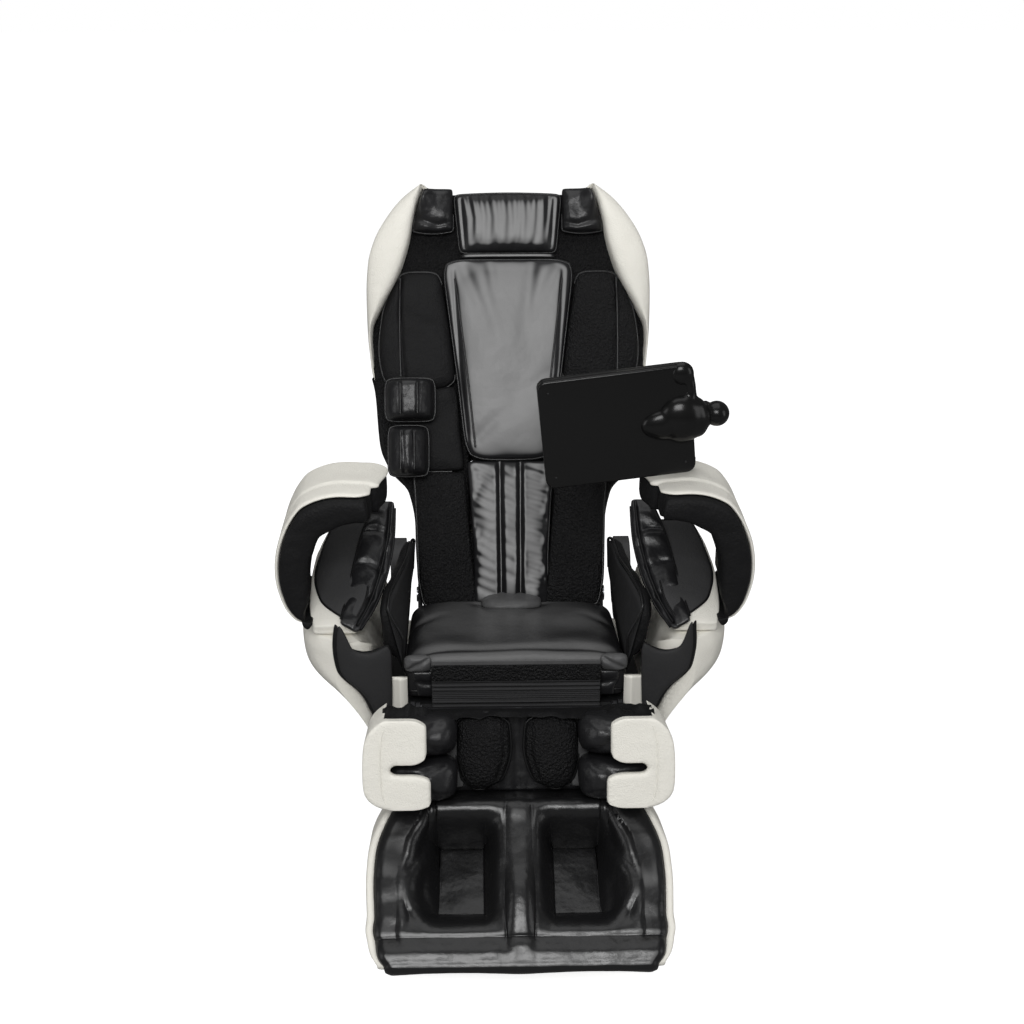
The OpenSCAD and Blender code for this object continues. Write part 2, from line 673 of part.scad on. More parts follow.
// Inner edge of the padded wings, which frame the head, shoulders and pads
function wing_edge() = concat(
    [[wing_x - 50, 380], [wing_x - 20, 440]],
    bend([[wing_x - 15, 540], [wing_x - 14, 590], [wing_x - 43, 625], [wing_x - 66, 666]], 8),
    bend([[wing_x - 66, 666], [wing_x - 96, 710], [tip_x + 4, back_len - 90], [tip_x - 4, back_len - 20]], 8),
    [[tip_x - 4, back_len + 1]]);
// Side profile of the shell: its wings reach forward beside the head
module shell_side() polygon(concat(
    [[-15, shell_z0], [back_depth, shell_z0], [back_depth, 560]],
    bend([[back_depth, 560], [back_depth, 740], [130, back_len], [60, back_len]], 12),
    [[-30, back_len]],
    bend([[-60, back_len - 10], [-112, 790], [-105, 640], [-70, 540]], 10),
    bend([[-70, 540], [-45, 480], [-15, 450], [-15, 400]], 8)
));

module back_shell() color(cream) in_back() difference() {
    intersection() {
        along_y(-120, back_depth + 1) back_outline();
        along_x(-wing_x - 1, wing_x + 1) shell_side();
    }
    intersection() {
        along_y(board_front - gap, back_depth) offset(delta = -shell_wall) back_outline();
        along_x(-wing_x, wing_x) translate([-shell_wall, 0]) shell_side();
    }
    along_y(-121, board_back) polygon(concat(wing_edge(), flipped(wing_edge())));
    along_y(-121, back_depth - shell_wall)
        translate([0, shell_z0]) square([2 * (hip_x - 2 * shell_wall), 60], center = true);
}

module back_upholstery() color(black) in_back() difference() {
    union() {
        along_y(board_front, board_back) offset(delta = -shell_wall - gap) back_outline();
        box([loose + gap - ear_in, board_front, board_z0], [ear_in - loose - gap, board_back, shell_z0 + 60]);
    }
    box([-window_x, board_front - 1, window_z[0]], [window_x, board_back + 1, window_z[1]]);
}

module on_board(x, z) translate([x, pad_plane, z]) children();
pad_z = [288, 288 + pad_len];
strip_z = [board_z0 - 6, pad_z[0] - 4];
pillow_z = pad_z[1] + 17;
shoulder_x = pad_w / 2 + 5;

module back_pad() color(grey) in_back() on_board(0, (pad_z[0] + pad_z[1]) / 2)
    pad(pad_w, pad_len, pad_t, 22, n = 16, waist = 0.01, taper = 0.34);

module lumbar_strip() color(grey) in_back() on_board(0, (strip_z[0] + strip_z[1]) / 2)
    pad(2 * window_x + 12, strip_z[1] - strip_z[0], 36, 18, n = 16, waist = 0.01, taper = 0.16,
        channels = [-19, 19]);

module head_pillow() color(grey) in_back() on_board(0, pillow_z + pillow_h / 2)
    pad(pillow_w, pillow_h, pillow_t, 18, n = 16, waist = 0.02, taper = 0.1, folds = 4);

module shoulder_panels() color(black) in_back() both_sides() {
    on_board(shoulder_x + 44, 556) pad(88, 220, 40, 20, n = 10, waist = 0.02);
    on_board((window_x + 6 + hip_x) / 2, 140) pad(hip_x - window_x - 12, 200, 30, 16, n = 8, waist = 0.04);
}

module shoulder_pods() color(black) in_back() both_sides() {
    on_board(206, 400) pad(96, 82, 98, 62, n = 8, waist = 0.04);
    on_board(208, 300) pad(80, 104, 92, 56, n = 8, waist = 0.04);
}

module ear_pads() color(black) in_back() both_sides() on_board(pillow_w / 2 + 38, 826)
    pad(66, 72, 40, 16, n = 8, waist = 0.04, belly = 12);

module back_frame() color(steel) in_back() {
    pin = back_lever * [sin(back_lean + back_swing), -cos(back_lean + back_swing)];
    bar_z = [screw_z[0] + 8, screw_z[0] + 8 + back_tube];
    both_sides() {
        along_x(ear_in, ear_out) difference() {
            union() {
                circle(d = pin_d + 24);
                translate([back_tube_y, 0]) square([back_tube, bar_z[1] + 10]);
            }
            circle(d = pin_d + 2 * run);
        }
        box([back_tube_x - back_tube / 2, back_tube_y, bar_z[0]],
            [ear_in + 1, back_tube_y + back_tube, screw_z[1] + 20]);
    }
    difference() {
        for (z = [bar_z[0], screw_z[1] - 12])
            box([-back_tube_x, back_tube_y, z], [back_tube_x, back_tube_y + back_tube, z + 20]);
        box([-window_x, board_back, screw_z[1] - 40], [window_x, back_tube_y + 4, screw_z[1] + 40]);
    }
    // Brackets that carry the lead screw behind the carriage
    for (z = [bar_z[0], screw_z[1] - 12]) difference() {
        box([-20, back_tube_y + back_tube - 1, z], [20, screw_y + 18, z + 20]);
        translate([0, screw_y, z - 1]) cylinder(d = screw_d + 2 * run, h = 22);
    }
    along_x(back_lever_x - lever_t / 2, back_lever_x + lever_t / 2) {
        link([back_tube_y + back_tube / 2, bar_z[0] + 6], [0, 0], lever_w);
        link([0, 0], pin, lever_w);
    }
    rod_x(pin, lever_pin_d, back_lever_x - fork_w / 2, back_lever_x + fork_w / 2);
}

// --- Massage carriage -----------------------------------------------------------

module lead_screw() color(steel) in_back() translate([0, screw_y, screw_z[0]]) {
    cylinder(d = screw_d, h = screw_z[1] - screw_z[0] + 16);
    for (z = [0, screw_z[1] - screw_z[0] + 10]) translate([0, 0, z]) cylinder(d = screw_d + 10, h = 6);
}

module carriage() color(charcoal) in_back() {
    both_sides() box([carriage_x - 10, -24, carriage_z], [carriage_x, 40, carriage_z + carriage_h]);
    box([-carriage_x, 37, carriage_z], [carriage_x, 45, carriage_z + carriage_h]);
    difference() {
        box([-24, 44, knead[1] - 30], [24, screw_y + 22, knead[1] + 30]);
        translate([0, screw_y, carriage_z]) cylinder(d = screw_d + 2 * run, h = carriage_h);
    }
    rod_x(knead, knead_d, -carriage_x + 1, carriage_x - 1);
}

module kneading_arms() color(steel) in_back() both_sides() {
    along_x(arm_x, arm_x + arm_t) difference() {
        union() {
            translate(knead) circle(d = knead_d + 16);
            for (s = [-1, 1]) link(knead, [spindle_y, knead[1] + s * spindle_reach], 18);
        }
        translate(knead) circle(d = knead_d + 2 * run);
    }
    for (s = [-1, 1]) {
        at = [spindle_y, knead[1] + s * spindle_reach];
        tip = arm_x + arm_t + roller_w + 2;
        rod_x(at, spindle_d, arm_x + 1, tip + 3);
        rod_x(at, spindle_d + 8, tip, tip + 3);
    }
}

module rollers(s) color(grey) in_back() both_sides() difference() {
    at = [spindle_y, knead[1] + s * spindle_reach];
    x0 = arm_x + arm_t + 1;
    rod_x(at, roller_d, x0, x0 + roller_w);
    rod_x(at, spindle_d + 2 * run, x0 - 1, x0 + roller_w + 1);
}

// --- Leg rest ----------------------------------------------------------------------

module leg_frame() color(charcoal) in_leg() {
    pin = leg_lever * [sin(leg_lean + leg_swing), -cos(leg_lean + leg_swing)];
    bar_y = calf_back + gap;
    both_sides() {
        along_x(ear_in, ear_out) difference() {
            union() {
                circle(d = pin_d + 20);
                translate([bar_y, -62]) square([22, 62]);
            }
            circle(d = pin_d + 2 * run);
        }
        difference() {
            box([guide_x - guide_size / 2, bar_y, guide_z[0]],
                [guide_x + guide_size / 2, bar_y + guide_size, guide_z[1]]);
            box([guide_x - rail_bar / 2 - gap, bar_y + 4 - gap, guide_z[0] - 1],
                [guide_x + rail_bar / 2 + gap, bar_y + 4 + rail_bar + gap, guide_z[1] + 1]);
        }
    }
    for (s = [-1, 1])
        box([s > 0 ? guide_x + guide_size / 2 - 1 : -ear_out, bar_y, -62],
            [s > 0 ? ear_out : -guide_x - guide_size / 2 + 1, bar_y + 22, -38]);
    box([-guide_x + guide_size / 2 - 1, bar_y, -62], [guide_x - guide_size / 2 + 1, bar_y + 22, -38]);
    along_x(leg_lever_x - lever_t / 2, leg_lever_x + lever_t / 2)
        link([bar_y + lever_w / 2, -50], pin, lever_w);
    rod_x(pin, lever_pin_d, leg_lever_x - fork_w / 2, leg_lever_x + fork_w / 2);
}

module calf_panel() color(black) in_leg()
    box([-leg_w / 2 + finger_t + gap, calf_back - calf_panel_t, calf_top - calf_h + 4],
        [leg_w / 2 - finger_t - gap, calf_back, calf_top - 2]);

module calf_shell(side) color(cream) in_leg() on_side(side) {
    x1 = leg_w / 2;
    mid_z = calf_top - calf_h / 2;
    difference() {
        intersection() {
            along_y(calf_front, calf_back) translate([x1 - 100, mid_z]) slab(200, calf_h, 38);
            box([finger_x, calf_front, calf_top - calf_h], [x1, calf_back, calf_top]);
        }
        box([finger_x - 1, calf_front + finger_t, calf_top - calf_h - 1],
            [x1 - finger_t, calf_back + 1, calf_top + 1]);
        // The slot that parts the upper finger from the lower one
        along_y(calf_front - 1, calf_front + finger_t + 1) link([finger_x - 20, -58], [x1 - 52, -58], 16);
    }
}

module calf_airbags() color(black) in_leg() both_sides() for (s = [0, 1])
    translate([181, calf_front + finger_t + gap, s == 0 ? -16 : -101]) rotate([0, 0, 180])
        pad(132, s == 0 ? 62 : 66, 36, 12, n = 8, waist = 0.04);

module calf_pads() color(black) in_leg() both_sides()
    translate([63, calf_back - calf_panel_t - gap, -40]) pad(98, 112, 40, 16, n = 10, waist = 0.04);

// --- Foot unit -----------------------------------------------------------------------

module foot_profile() polygon([
    [foot_back, rim_top[1]], rim_top, rim(0), toe_edge, toe_bottom, sole_low, sole_mid, heel_low]);
// What lies above the foot unit's bottom pan
module above_pan() polygon([
    [foot_back + 1, rim_top[1] + 60], rim_top + [-60, 60], rim(0) + [-60, 20],
    toe_edge + [-60, pan_t], toe_edge + [0, pan_t], toe_bottom + [0, pan_t], sole_low + [0, pan_t], sole_mid + [0, pan_t],
    heel_low + [1, pan_t]]);

module foot_shell() color(cream) in_leg() difference() {
    along_x(-leg_w / 2, leg_w / 2) foot_profile();
    along_x(-leg_w / 2 + leg_wall, leg_w / 2 - leg_wall) above_pan();
    rod_x(foot_roller, spindle_foot_d + 2 * run, -leg_w / 2 + leg_wall - 9, leg_w / 2 - leg_wall + 9);
}

module foot_upholstery() color(black) in_leg() difference() {
    along_x(-leg_w / 2 + leg_wall + gap, leg_w / 2 - leg_wall - gap) intersection() {
        foot_profile();
        translate([0, gap]) above_pan();
    }
    both_sides() along_x(well_x[0], well_x[1]) polygon([
        rim(well_front) - 40 * rim_in, rim(well_front), sole_front, sole_heel,
        sole_heel + [-16, 60], rim(rim_len - 14), rim(rim_len - 14) - 40 * rim_in]);
    rod_x(foot_roller, foot_roller_d + 2 * loose, -leg_w / 2, leg_w / 2);
}

module foot_rails() color(steel) in_leg() both_sides() {
    y0 = calf_back + gap + 4;
    box([guide_x - rail_bar / 2, y0, -335], [guide_x + rail_bar / 2, y0 + rail_bar, -62]);
    box([guide_x - rail_bar / 2 - 6, foot_back + gap, -335], [guide_x + rail_bar / 2 + 6, y0 + rail_bar, -300]);
}

module foot_rollers() color(charcoal) in_leg() {
    end = leg_w / 2 - leg_wall;
    rod_x(foot_roller, spindle_foot_d, -end - 8, end + 8);
    both_sides() for (x = [70, 130]) rod_x(foot_roller, foot_roller_d, x, x + 36);
}

// --- Tablet --------------------------------------------------------------------------

module tablet_post() color(black) translate([post_at[0], post_at[1], post_z]) {
    cylinder(d = post_d + 22, h = 6);
    cylinder(d = post_d, h = post_h - post_d / 2);
    translate([0, 0, post_h - post_d / 2]) sphere(d = post_d);
}

module swivel_arm() color(black) {
    reach = [ball_at[0] - post_at[0], ball_at[1] - post_at[1]];
    turn = atan2(reach[1], reach[0]);
    drop = ball_at[2] - collar_z;
    difference() {
        union() {
            translate([post_at[0], post_at[1], collar_z - collar_h / 2])
                cylinder(d = post_d + 16, h = collar_h);
            translate([post_at[0], post_at[1], collar_z]) rotate([0, 0, turn]) {
                translate([post_d / 2 + 2, 0, 0]) rotate([0, 90, 0])
                    cylinder(d = 16, h = norm(reach) - post_d / 2 - ball_d / 2 - 6);
                translate([norm(reach) - ball_d / 2 - 12, 0, drop]) rotate([0, 90, 0])
                    cylinder(d = 28, h = 16);
            }
        }
        translate(ball_at) sphere(d = ball_d + 2 * gap, $fn = 96);
        translate([post_at[0], post_at[1], collar_z - collar_h]) cylinder(d = post_d + 2 * run, h = 2 * collar_h);
    }
}

module ball_stud() color(black) {
    translate(ball_at) sphere(d = ball_d, $fn = 96);
    // The upright trunnion that the ball turns on
    translate(ball_at) cylinder(d = 14, h = ball_d + 3, center = true);
    in_tablet() rotate([0, -90, 0]) cylinder(d = stud_d, h = ball_d / 2 + stud_len);
}

tablet_mid = -tablet_x - tablet_w / 2;

module tablet_case() color(black) in_tablet() difference() {
    union() {
        along_y(-tablet_t / 2, tablet_t / 2) translate([tablet_mid, 0]) slab(tablet_w, tablet_h, 18);
        // The neck swells out of the back of the case and reaches to the ball
        intersection() {
            rotate([0, -90, 0]) translate([0, 0, ball_d / 2 + 4]) union() {
                cylinder(r1 = 11, r2 = 27, h = 38);
                translate([0, 0, 38]) cylinder(r1 = 27, r2 = 8, h = 85);
            }
            box([-200, -40, -60], [0, tablet_t / 2, 60]);
        }
    }
    along_y(tablet_t / 2 - screen_t, tablet_t / 2 + 1) translate([tablet_mid, 0])
        slab(tablet_w - 24, tablet_h - 24, 10);
    rotate([0, -90, 0]) cylinder(d = stud_d + 2 * run, h = ball_d / 2 + stud_len + 1);
}

module tablet_screen() color(charcoal) in_tablet()
    along_y(tablet_t / 2 - screen_t + gap, tablet_t / 2 - 0.5) translate([tablet_mid, 0])
        slab(tablet_w - 24 - 2 * gap, tablet_h - 24 - 2 * gap, 10 - gap);

base_frame();
base_feet();
wheel_axle();
wheel(-1);  // wheel_left
wheel(1);  // wheel_right
power_box();
mains_inlet();
power_rocker();
pump_unit();
seat_frame();
hinge_pins();
seat_board();
seat_cushion();
hip_bolsters();
front_apron();
side_cover(-1);  // side_cover_left
side_cover(1);  // side_cover_right
side_front_panels();
inner_walls();
hinge_hubs();
arm_shell(-1);  // arm_shell_left
arm_shell(1);  // arm_shell_right
arm_liner(-1);  // arm_liner_left
arm_liner(1);  // arm_liner_right
forearm_pad(-1);  // forearm_pad_left
forearm_pad(1);  // forearm_pad_right
rear_cover();
back_actuator();
back_rod();
leg_actuator();
leg_rod();
back_frame();
back_shell();
back_upholstery();
back_pad();
lumbar_strip();
head_pillow();
shoulder_panels();
shoulder_pods();
ear_pads();
lead_screw();
carriage();
kneading_arms();
rollers(1);  // rollers_upper
rollers(-1);  // rollers_lower
leg_frame();
calf_panel();
calf_shell(-1);  // calf_shell_left
calf_shell(1);  // calf_shell_right
calf_airbags();
calf_pads();
foot_shell();
foot_upholstery();
foot_rails();
foot_rollers();
tablet_post();
swivel_arm();
ball_stud();
tablet_case();
tablet_screen();
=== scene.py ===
# %% [markdown]
# # A massage chair
# The chair has a steel base, a tilting chassis with covers and arm units, a
# reclining backrest with a kneading carriage, a rising leg rest with foot
# wells, and a tablet on a post. The frame brings in every solid piece with its
# joints. This lesson gives the hard pieces their finish and rebuilds the soft
# ones as leather over foam, because a cushion's puffed faces, seams and
# creases are what the eye reads first.

# %% Tools and frame
import json
import math

import bmesh
import bpy
from mathutils import Matrix, Vector, noise


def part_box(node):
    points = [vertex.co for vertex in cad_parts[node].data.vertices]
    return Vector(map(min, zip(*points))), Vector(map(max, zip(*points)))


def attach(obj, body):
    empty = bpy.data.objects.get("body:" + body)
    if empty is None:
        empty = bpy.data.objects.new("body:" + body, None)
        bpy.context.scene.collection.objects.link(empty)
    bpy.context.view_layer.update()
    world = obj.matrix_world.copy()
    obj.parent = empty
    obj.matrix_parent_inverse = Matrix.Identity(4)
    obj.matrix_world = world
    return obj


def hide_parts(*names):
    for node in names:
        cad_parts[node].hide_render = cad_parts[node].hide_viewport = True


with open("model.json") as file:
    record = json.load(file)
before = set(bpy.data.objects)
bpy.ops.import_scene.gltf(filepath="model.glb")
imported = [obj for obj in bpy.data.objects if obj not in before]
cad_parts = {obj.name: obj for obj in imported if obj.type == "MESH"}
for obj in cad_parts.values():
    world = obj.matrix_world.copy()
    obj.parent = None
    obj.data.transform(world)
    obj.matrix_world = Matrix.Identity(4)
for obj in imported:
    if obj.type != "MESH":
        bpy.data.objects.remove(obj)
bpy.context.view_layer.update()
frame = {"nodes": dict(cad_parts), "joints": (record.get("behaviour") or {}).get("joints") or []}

# %% [markdown]
# The backrest and the leg rest lean, so their pieces are easier to shape in a
# leaning frame of their own: x across, y backwards, z up along the part. Each
# such frame starts at the hinge, and its lean is read from a slide that runs
# along it. The shapes below are given in millimetres in these frames.

# %% Leaning frames
MM = 0.001
BLACK, GREY, CREAM = "black_leather", "grey_leather", "cream_leather"


def joint(name):
    return next(j for j in frame["joints"] if j["name"] == name)


def leaning(hinge, slide):
    axis = Vector(joint(slide)["axis"])
    lean = math.atan2(axis.y, axis.z) if axis.z > 0 else math.atan2(-axis.y, -axis.z)
    return Matrix.Translation(joint(hinge)["pos_m"]) @ Matrix.Rotation(-lean, 4, "X")


BACK = leaning("recline", "carriage_slide")
LEG = leaning("leg_raise", "foot_extend")
SEAT = Matrix.Translation((0, -0.2403, 0.482)) @ Matrix.Rotation(math.radians(-10), 4, "X")
BALL = (Matrix.Translation(joint("tablet_turn")["pos_m"]) @ Matrix.Rotation(math.radians(-6), 4, "Y")
        @ Matrix.Rotation(math.radians(3), 4, "Z") @ Matrix.Rotation(math.radians(4), 4, "X"))
# UPWARD and FORWARD give the directions in which the painted sheen of the seat and of the foot cover is
# strongest.
UPWARD = Matrix.Rotation(math.radians(-76), 4, "X")
FORWARD = Matrix.Rotation(math.radians(-39), 4, "X")
print("backrest leans", round(math.degrees(-BACK.to_euler().x), 1), "degrees")

# %% [markdown]
# A surface is more than a colour. Real leather has pores of about a
# millimetre, softer folds a few centimetres apart, and a gloss that changes
# where hands have rubbed it. One recipe covers every finish here: large noise
# shades the colour and the roughness, a cell pattern presses the grain, and
# fine noise adds the last tooth. All of it is placed by object coordinates, so
# it stays on the piece when the chair moves. On the pads that a sitter leans on,
# and on the foot cover, a sheen is painted into the colour: where the leather
# faces a given direction it is painted pale grey, standing in for the reflection
# of the lights, and in folds and at the rims it stays black.

# %% Finishes


def finish_recipe(name, colour, rough, grain=0.0, grain_scale=500.0, folds=0.0, fold_scale=18.0,
                  tooth=0.02, tooth_scale=1500.0, mottle=0.06, wear=0.08, metallic=0.0,
                  coat=0.0, coat_rough=0.2, specular=0.5, holes=0.0, facing=None):
    mat = bpy.data.materials.new(name)
    mat.use_nodes = True
    nodes, links = mat.node_tree.nodes, mat.node_tree.links
    shader = nodes["Principled BSDF"]
    shader.inputs["Metallic"].default_value = metallic
    shader.inputs["Coat Weight"].default_value = coat
    shader.inputs["Coat Roughness"].default_value = coat_rough
    shader.inputs["Specular IOR Level"].default_value = specular
    where = nodes.new("ShaderNodeTexCoord")

    def texture(kind, scale, detail=3.0):
        node = nodes.new(kind)
        node.inputs["Scale"].default_value = scale
        if "Detail" in node.inputs:
            node.inputs["Detail"].default_value = detail
        links.new(where.outputs["Object"], node.inputs["Vector"])
        return node

    broad = texture("ShaderNodeTexNoise", 7.0)
    shade = nodes.new("ShaderNodeMix")
    shade.data_type = "RGBA"
    shade.inputs["A"].default_value = (*[c * (1 - mottle) for c in colour], 1)
    shade.inputs["B"].default_value = (*[min(1, c * (1 + mottle)) for c in colour], 1)
    links.new(broad.outputs["Fac"], shade.inputs["Factor"])
    top = shade.outputs["Result"]
    # Painted sheen: the base colour is painted pale grey where the surface faces the given direction,
    # standing in for a reflection of the lights; folds and rims that turn away stay black.
    if facing:
        lean, pale, start = facing
        turn = nodes.new("ShaderNodeVectorMath")
        turn.operation = "DOT_PRODUCT"
        turn.inputs[1].default_value = lean.to_3x3() @ Vector((0, -1, 0))
        links.new(where.outputs["Normal"], turn.inputs[0])
        patch = texture("ShaderNodeTexNoise", 9.0, 2.0)
        shift = nodes.new("ShaderNodeMath")
        shift.operation = "MULTIPLY_ADD"
        shift.inputs[1].default_value = 0.05
        links.new(patch.outputs["Fac"], shift.inputs[0])
        links.new(turn.outputs["Value"], shift.inputs[2])
        sheen_mask = nodes.new("ShaderNodeMapRange")
        sheen_mask.interpolation_type = "SMOOTHSTEP"
        sheen_mask.inputs["From Min"].default_value = start
        sheen_mask.inputs["From Max"].default_value = 1.02
        links.new(shift.outputs["Value"], sheen_mask.inputs["Value"])
        sheen_paint = nodes.new("ShaderNodeMix")
        sheen_paint.data_type = "RGBA"
        sheen_paint.inputs["B"].default_value = (pale, pale, pale, 1)
        links.new(sheen_mask.outputs["Result"], sheen_paint.inputs["Factor"])
        links.new(top, sheen_paint.inputs["A"])
        top = sheen_paint.outputs["Result"]
    links.new(top, shader.inputs["Base Color"])
    gloss = nodes.new("ShaderNodeMapRange")
    gloss.inputs["To Min"].default_value = max(0.02, rough - wear)
    gloss.inputs["To Max"].default_value = min(1, rough + wear)
    rub = texture("ShaderNodeTexNoise", 23.0)
    links.new(rub.outputs["Fac"], gloss.inputs["Value"])
    links.new(gloss.outputs["Result"], shader.inputs["Roughness"])

    last = None
    layers = [("ShaderNodeTexNoise", tooth_scale, tooth, "Fac")]
    if grain:
        layers.append(("ShaderNodeTexVoronoi", grain_scale, grain, "Distance"))
    if folds:
        layers.append(("ShaderNodeTexNoise", fold_scale, folds, "Fac"))
    if holes:
        layers.append(("ShaderNodeTexVoronoi", 190.0, holes, "Distance"))
    for kind, scale, depth, socket in layers:
        node = texture(kind, scale)
        bump = nodes.new("ShaderNodeBump")
        bump.inputs["Strength"].default_value = min(1.0, depth)
        bump.inputs["Distance"].default_value = 0.9 / scale
        links.new(node.outputs[socket], bump.inputs["Height"])
        if last:
            links.new(last.outputs["Normal"], bump.inputs["Normal"])
        last = bump
    links.new(last.outputs["Normal"], shader.inputs["Normal"])
    return mat


FINISH = {
    "shiny_leather": finish_recipe("shiny_leather", (0.011, 0.011, 0.012), 0.33, grain=0.10,
                                   grain_scale=420, folds=0.15, fold_scale=16, wear=0.05, specular=0.42),
    # Painted sheen: pale grey where the back pads face forward from the backrest.
    "back_leather_painted_sheen": finish_recipe("back_leather_painted_sheen", (0.012, 0.012, 0.013), 0.42, grain=0.06, grain_scale=420,
                                folds=0.08, fold_scale=14, wear=0.04, specular=0.3,
                                facing=(BACK, 0.215, 0.915)),
    # Painted sheen: pale grey where the seat faces up.
    "seat_leather_painted_sheen": finish_recipe("seat_leather_painted_sheen", (0.012, 0.012, 0.013), 0.36, grain=0.06, grain_scale=420,
                                folds=0.08, fold_scale=14, wear=0.05, specular=0.4,
                                facing=(UPWARD, 0.115, 0.86)),
    "matte_leather": finish_recipe("matte_leather", (0.0075, 0.0075, 0.008), 0.55, grain=0.30,
                                   grain_scale=260, folds=0.15, wear=0.06, specular=0.16),
    # Painted highlight: pale where the foot cover faces forward and up.
    "foot_leather_painted_sheen": finish_recipe("foot_leather_painted_sheen", (0.009, 0.009, 0.0095), 0.30, grain=0.08, grain_scale=420,
                                  folds=0.12, fold_scale=16, wear=0.05, specular=0.42,
                                  facing=(FORWARD, 0.10, 0.99)),
    "pale_leather": finish_recipe("pale_leather", (0.075, 0.075, 0.076), 0.45, grain=0.12, grain_scale=420,
                                  folds=0.12, wear=0.06, specular=0.3),
    "pad_leather": finish_recipe("pad_leather", (0.046, 0.046, 0.047), 0.62, grain=0.2, grain_scale=420,
                                 folds=0.08, wear=0.05, specular=0.16),
    "pierced_leather": finish_recipe("pierced_leather", (0.007, 0.007, 0.0075), 0.46, grain=0.2,
                                     grain_scale=420, holes=0.7, folds=0.1, wear=0.08, specular=0.2),
    "grey_leather": finish_recipe("grey_leather", (0.027, 0.027, 0.028), 0.62, grain=0.2, grain_scale=420,
                                  folds=0.08, wear=0.05, specular=0.16),
    "ivory_leather": finish_recipe("ivory_leather", (0.83, 0.81, 0.74), 0.52, grain=0.30, grain_scale=330,
                                   folds=0.08, fold_scale=12, mottle=0.02, wear=0.06, specular=0.3),
    "ivory_plastic": finish_recipe("ivory_plastic", (0.83, 0.81, 0.74), 0.42, tooth=0.06, mottle=0.02,
                                   wear=0.05, specular=0.35),
    "black_plastic": finish_recipe("black_plastic", (0.016, 0.016, 0.017), 0.48, tooth=0.12, wear=0.06,
                                   specular=0.3),
    "grey_plastic": finish_recipe("grey_plastic", (0.07, 0.07, 0.072), 0.5, tooth=0.15, wear=0.06,
                                  specular=0.3),
    "gloss_black": finish_recipe("gloss_black", (0.0065, 0.0065, 0.0065), 0.22, tooth=0.01, wear=0.03,
                                 specular=0.28),
    "screen_glass": finish_recipe("screen_glass", (0.006, 0.006, 0.008), 0.07, tooth=0.004, wear=0.02,
                                  coat=0.8, coat_rough=0.03),
    "powder_coat": finish_recipe("powder_coat", (0.02, 0.02, 0.022), 0.55, grain=0.15, grain_scale=900,
                                 tooth=0.2, wear=0.08, specular=0.3),
    "drawn_steel": finish_recipe("drawn_steel", (0.45, 0.46, 0.48), 0.3, tooth=0.05, wear=0.1,
                                 metallic=1.0),
    "rubber": finish_recipe("rubber", (0.012, 0.012, 0.012), 0.8, tooth=0.25, wear=0.08, specular=0.15),
    "piping": finish_recipe("piping", (0.006, 0.006, 0.0065), 0.34, grain=0.1, wear=0.06, specular=0.4),
}
print(len(FINISH), "finishes")

# %% [markdown]
# The steel, the plastic mouldings and the mechanism are already the right
# shape, so they keep their form and take a finish. Each piece is listed with
# the material it would be made in.

# %% Hard pieces
PAINT = {
    "powder_coat": ["base_frame", "seat_frame", "back_frame", "leg_frame", "carriage"],
    "drawn_steel": ["wheel_axle", "hinge_pins", "back_rod", "leg_rod", "lead_screw", "kneading_arms",
                    "foot_rails"],
    "rubber": ["base_feet", "wheel_left", "wheel_right", "rollers_upper", "rollers_lower", "foot_rollers"],
    "black_plastic": ["power_box", "mains_inlet", "power_rocker", "pump_unit", "seat_board",
                      "rear_cover", "back_actuator", "leg_actuator"],
    "grey_plastic": ["hinge_hubs"],
    "ivory_plastic": ["inner_walls"],
    "gloss_black": ["tablet_post", "swivel_arm", "ball_stud"],
    "screen_glass": ["tablet_screen"],
}
for finish, names in PAINT.items():
    for name in names:
        piece = frame["nodes"][name]
        piece.data.materials.clear()
        piece.data.materials.append(FINISH[finish])
print(sum(map(len, PAINT.values())), "hard pieces finished")

# %% [markdown]
# Upholstery is drawn from its edges: for each height, where its left and right
# edges are. A smooth curve through a few such measures gives the outline.

# %% Curves through a few measures


def through(points):
    """A smooth function through (t, value) pairs."""
    points = sorted(points)
    ts, vs = [p[0] for p in points], [p[1] for p in points]
    steps = [(vs[i + 1] - vs[i]) / (ts[i + 1] - ts[i]) for i in range(len(ts) - 1)]
    slopes = [steps[0]]
    for a, b in zip(steps, steps[1:]):
        slopes.append(0.0 if a * b <= 0 else 2 * a * b / (a + b))
    slopes.append(steps[-1])

    def value(t):
        if t <= ts[0]:
            return vs[0]
        if t >= ts[-1]:
            return vs[-1]
        i = max(k for k in range(len(ts) - 1) if ts[k] <= t)
        h = ts[i + 1] - ts[i]
        s = (t - ts[i]) / h
        return ((2 * s ** 3 - 3 * s * s + 1) * vs[i] + (s ** 3 - 2 * s * s + s) * h * slopes[i]
                + (3 * s * s - 2 * s ** 3) * vs[i + 1] + (s ** 3 - s * s) * h * slopes[i + 1])
    return value


def ease(t):
    t = min(1.0, max(0.0, t))
    return t * t * (3 - 2 * t)


# %% [markdown]
# Every visible seam is stitched work, so a crease is a narrow valley along a
# line. A pad's height is its foam crown, minus the creases, plus soft
# unevenness where the leather is a little loose.

# %% Creases


def line_distance(x, z, a, b):
    dx, dz = b[0] - a[0], b[1] - a[1]
    t = min(1.0, max(0.0, ((x - a[0]) * dx + (z - a[1]) * dz) / (dx * dx + dz * dz + 1e-9)))
    return math.hypot(x - a[0] - t * dx, z - a[1] - t * dz), t


def creased(lines):
    """lines: (points, width, depth, fade); fade thins the crease towards its far end."""
    def relief(x, z):
        total = 0.0
        for points, width, depth, fade in lines:
            near, at = 1e9, 0.0
            for k, (a, b) in enumerate(zip(points, points[1:])):
                d, t = line_distance(x, z, a, b)
                if d < near:
                    near, at = d, (k + t) / (len(points) - 1)
            total -= depth * (1 - fade * at) * math.exp(-(near / width) ** 2)
        return total
    return relief


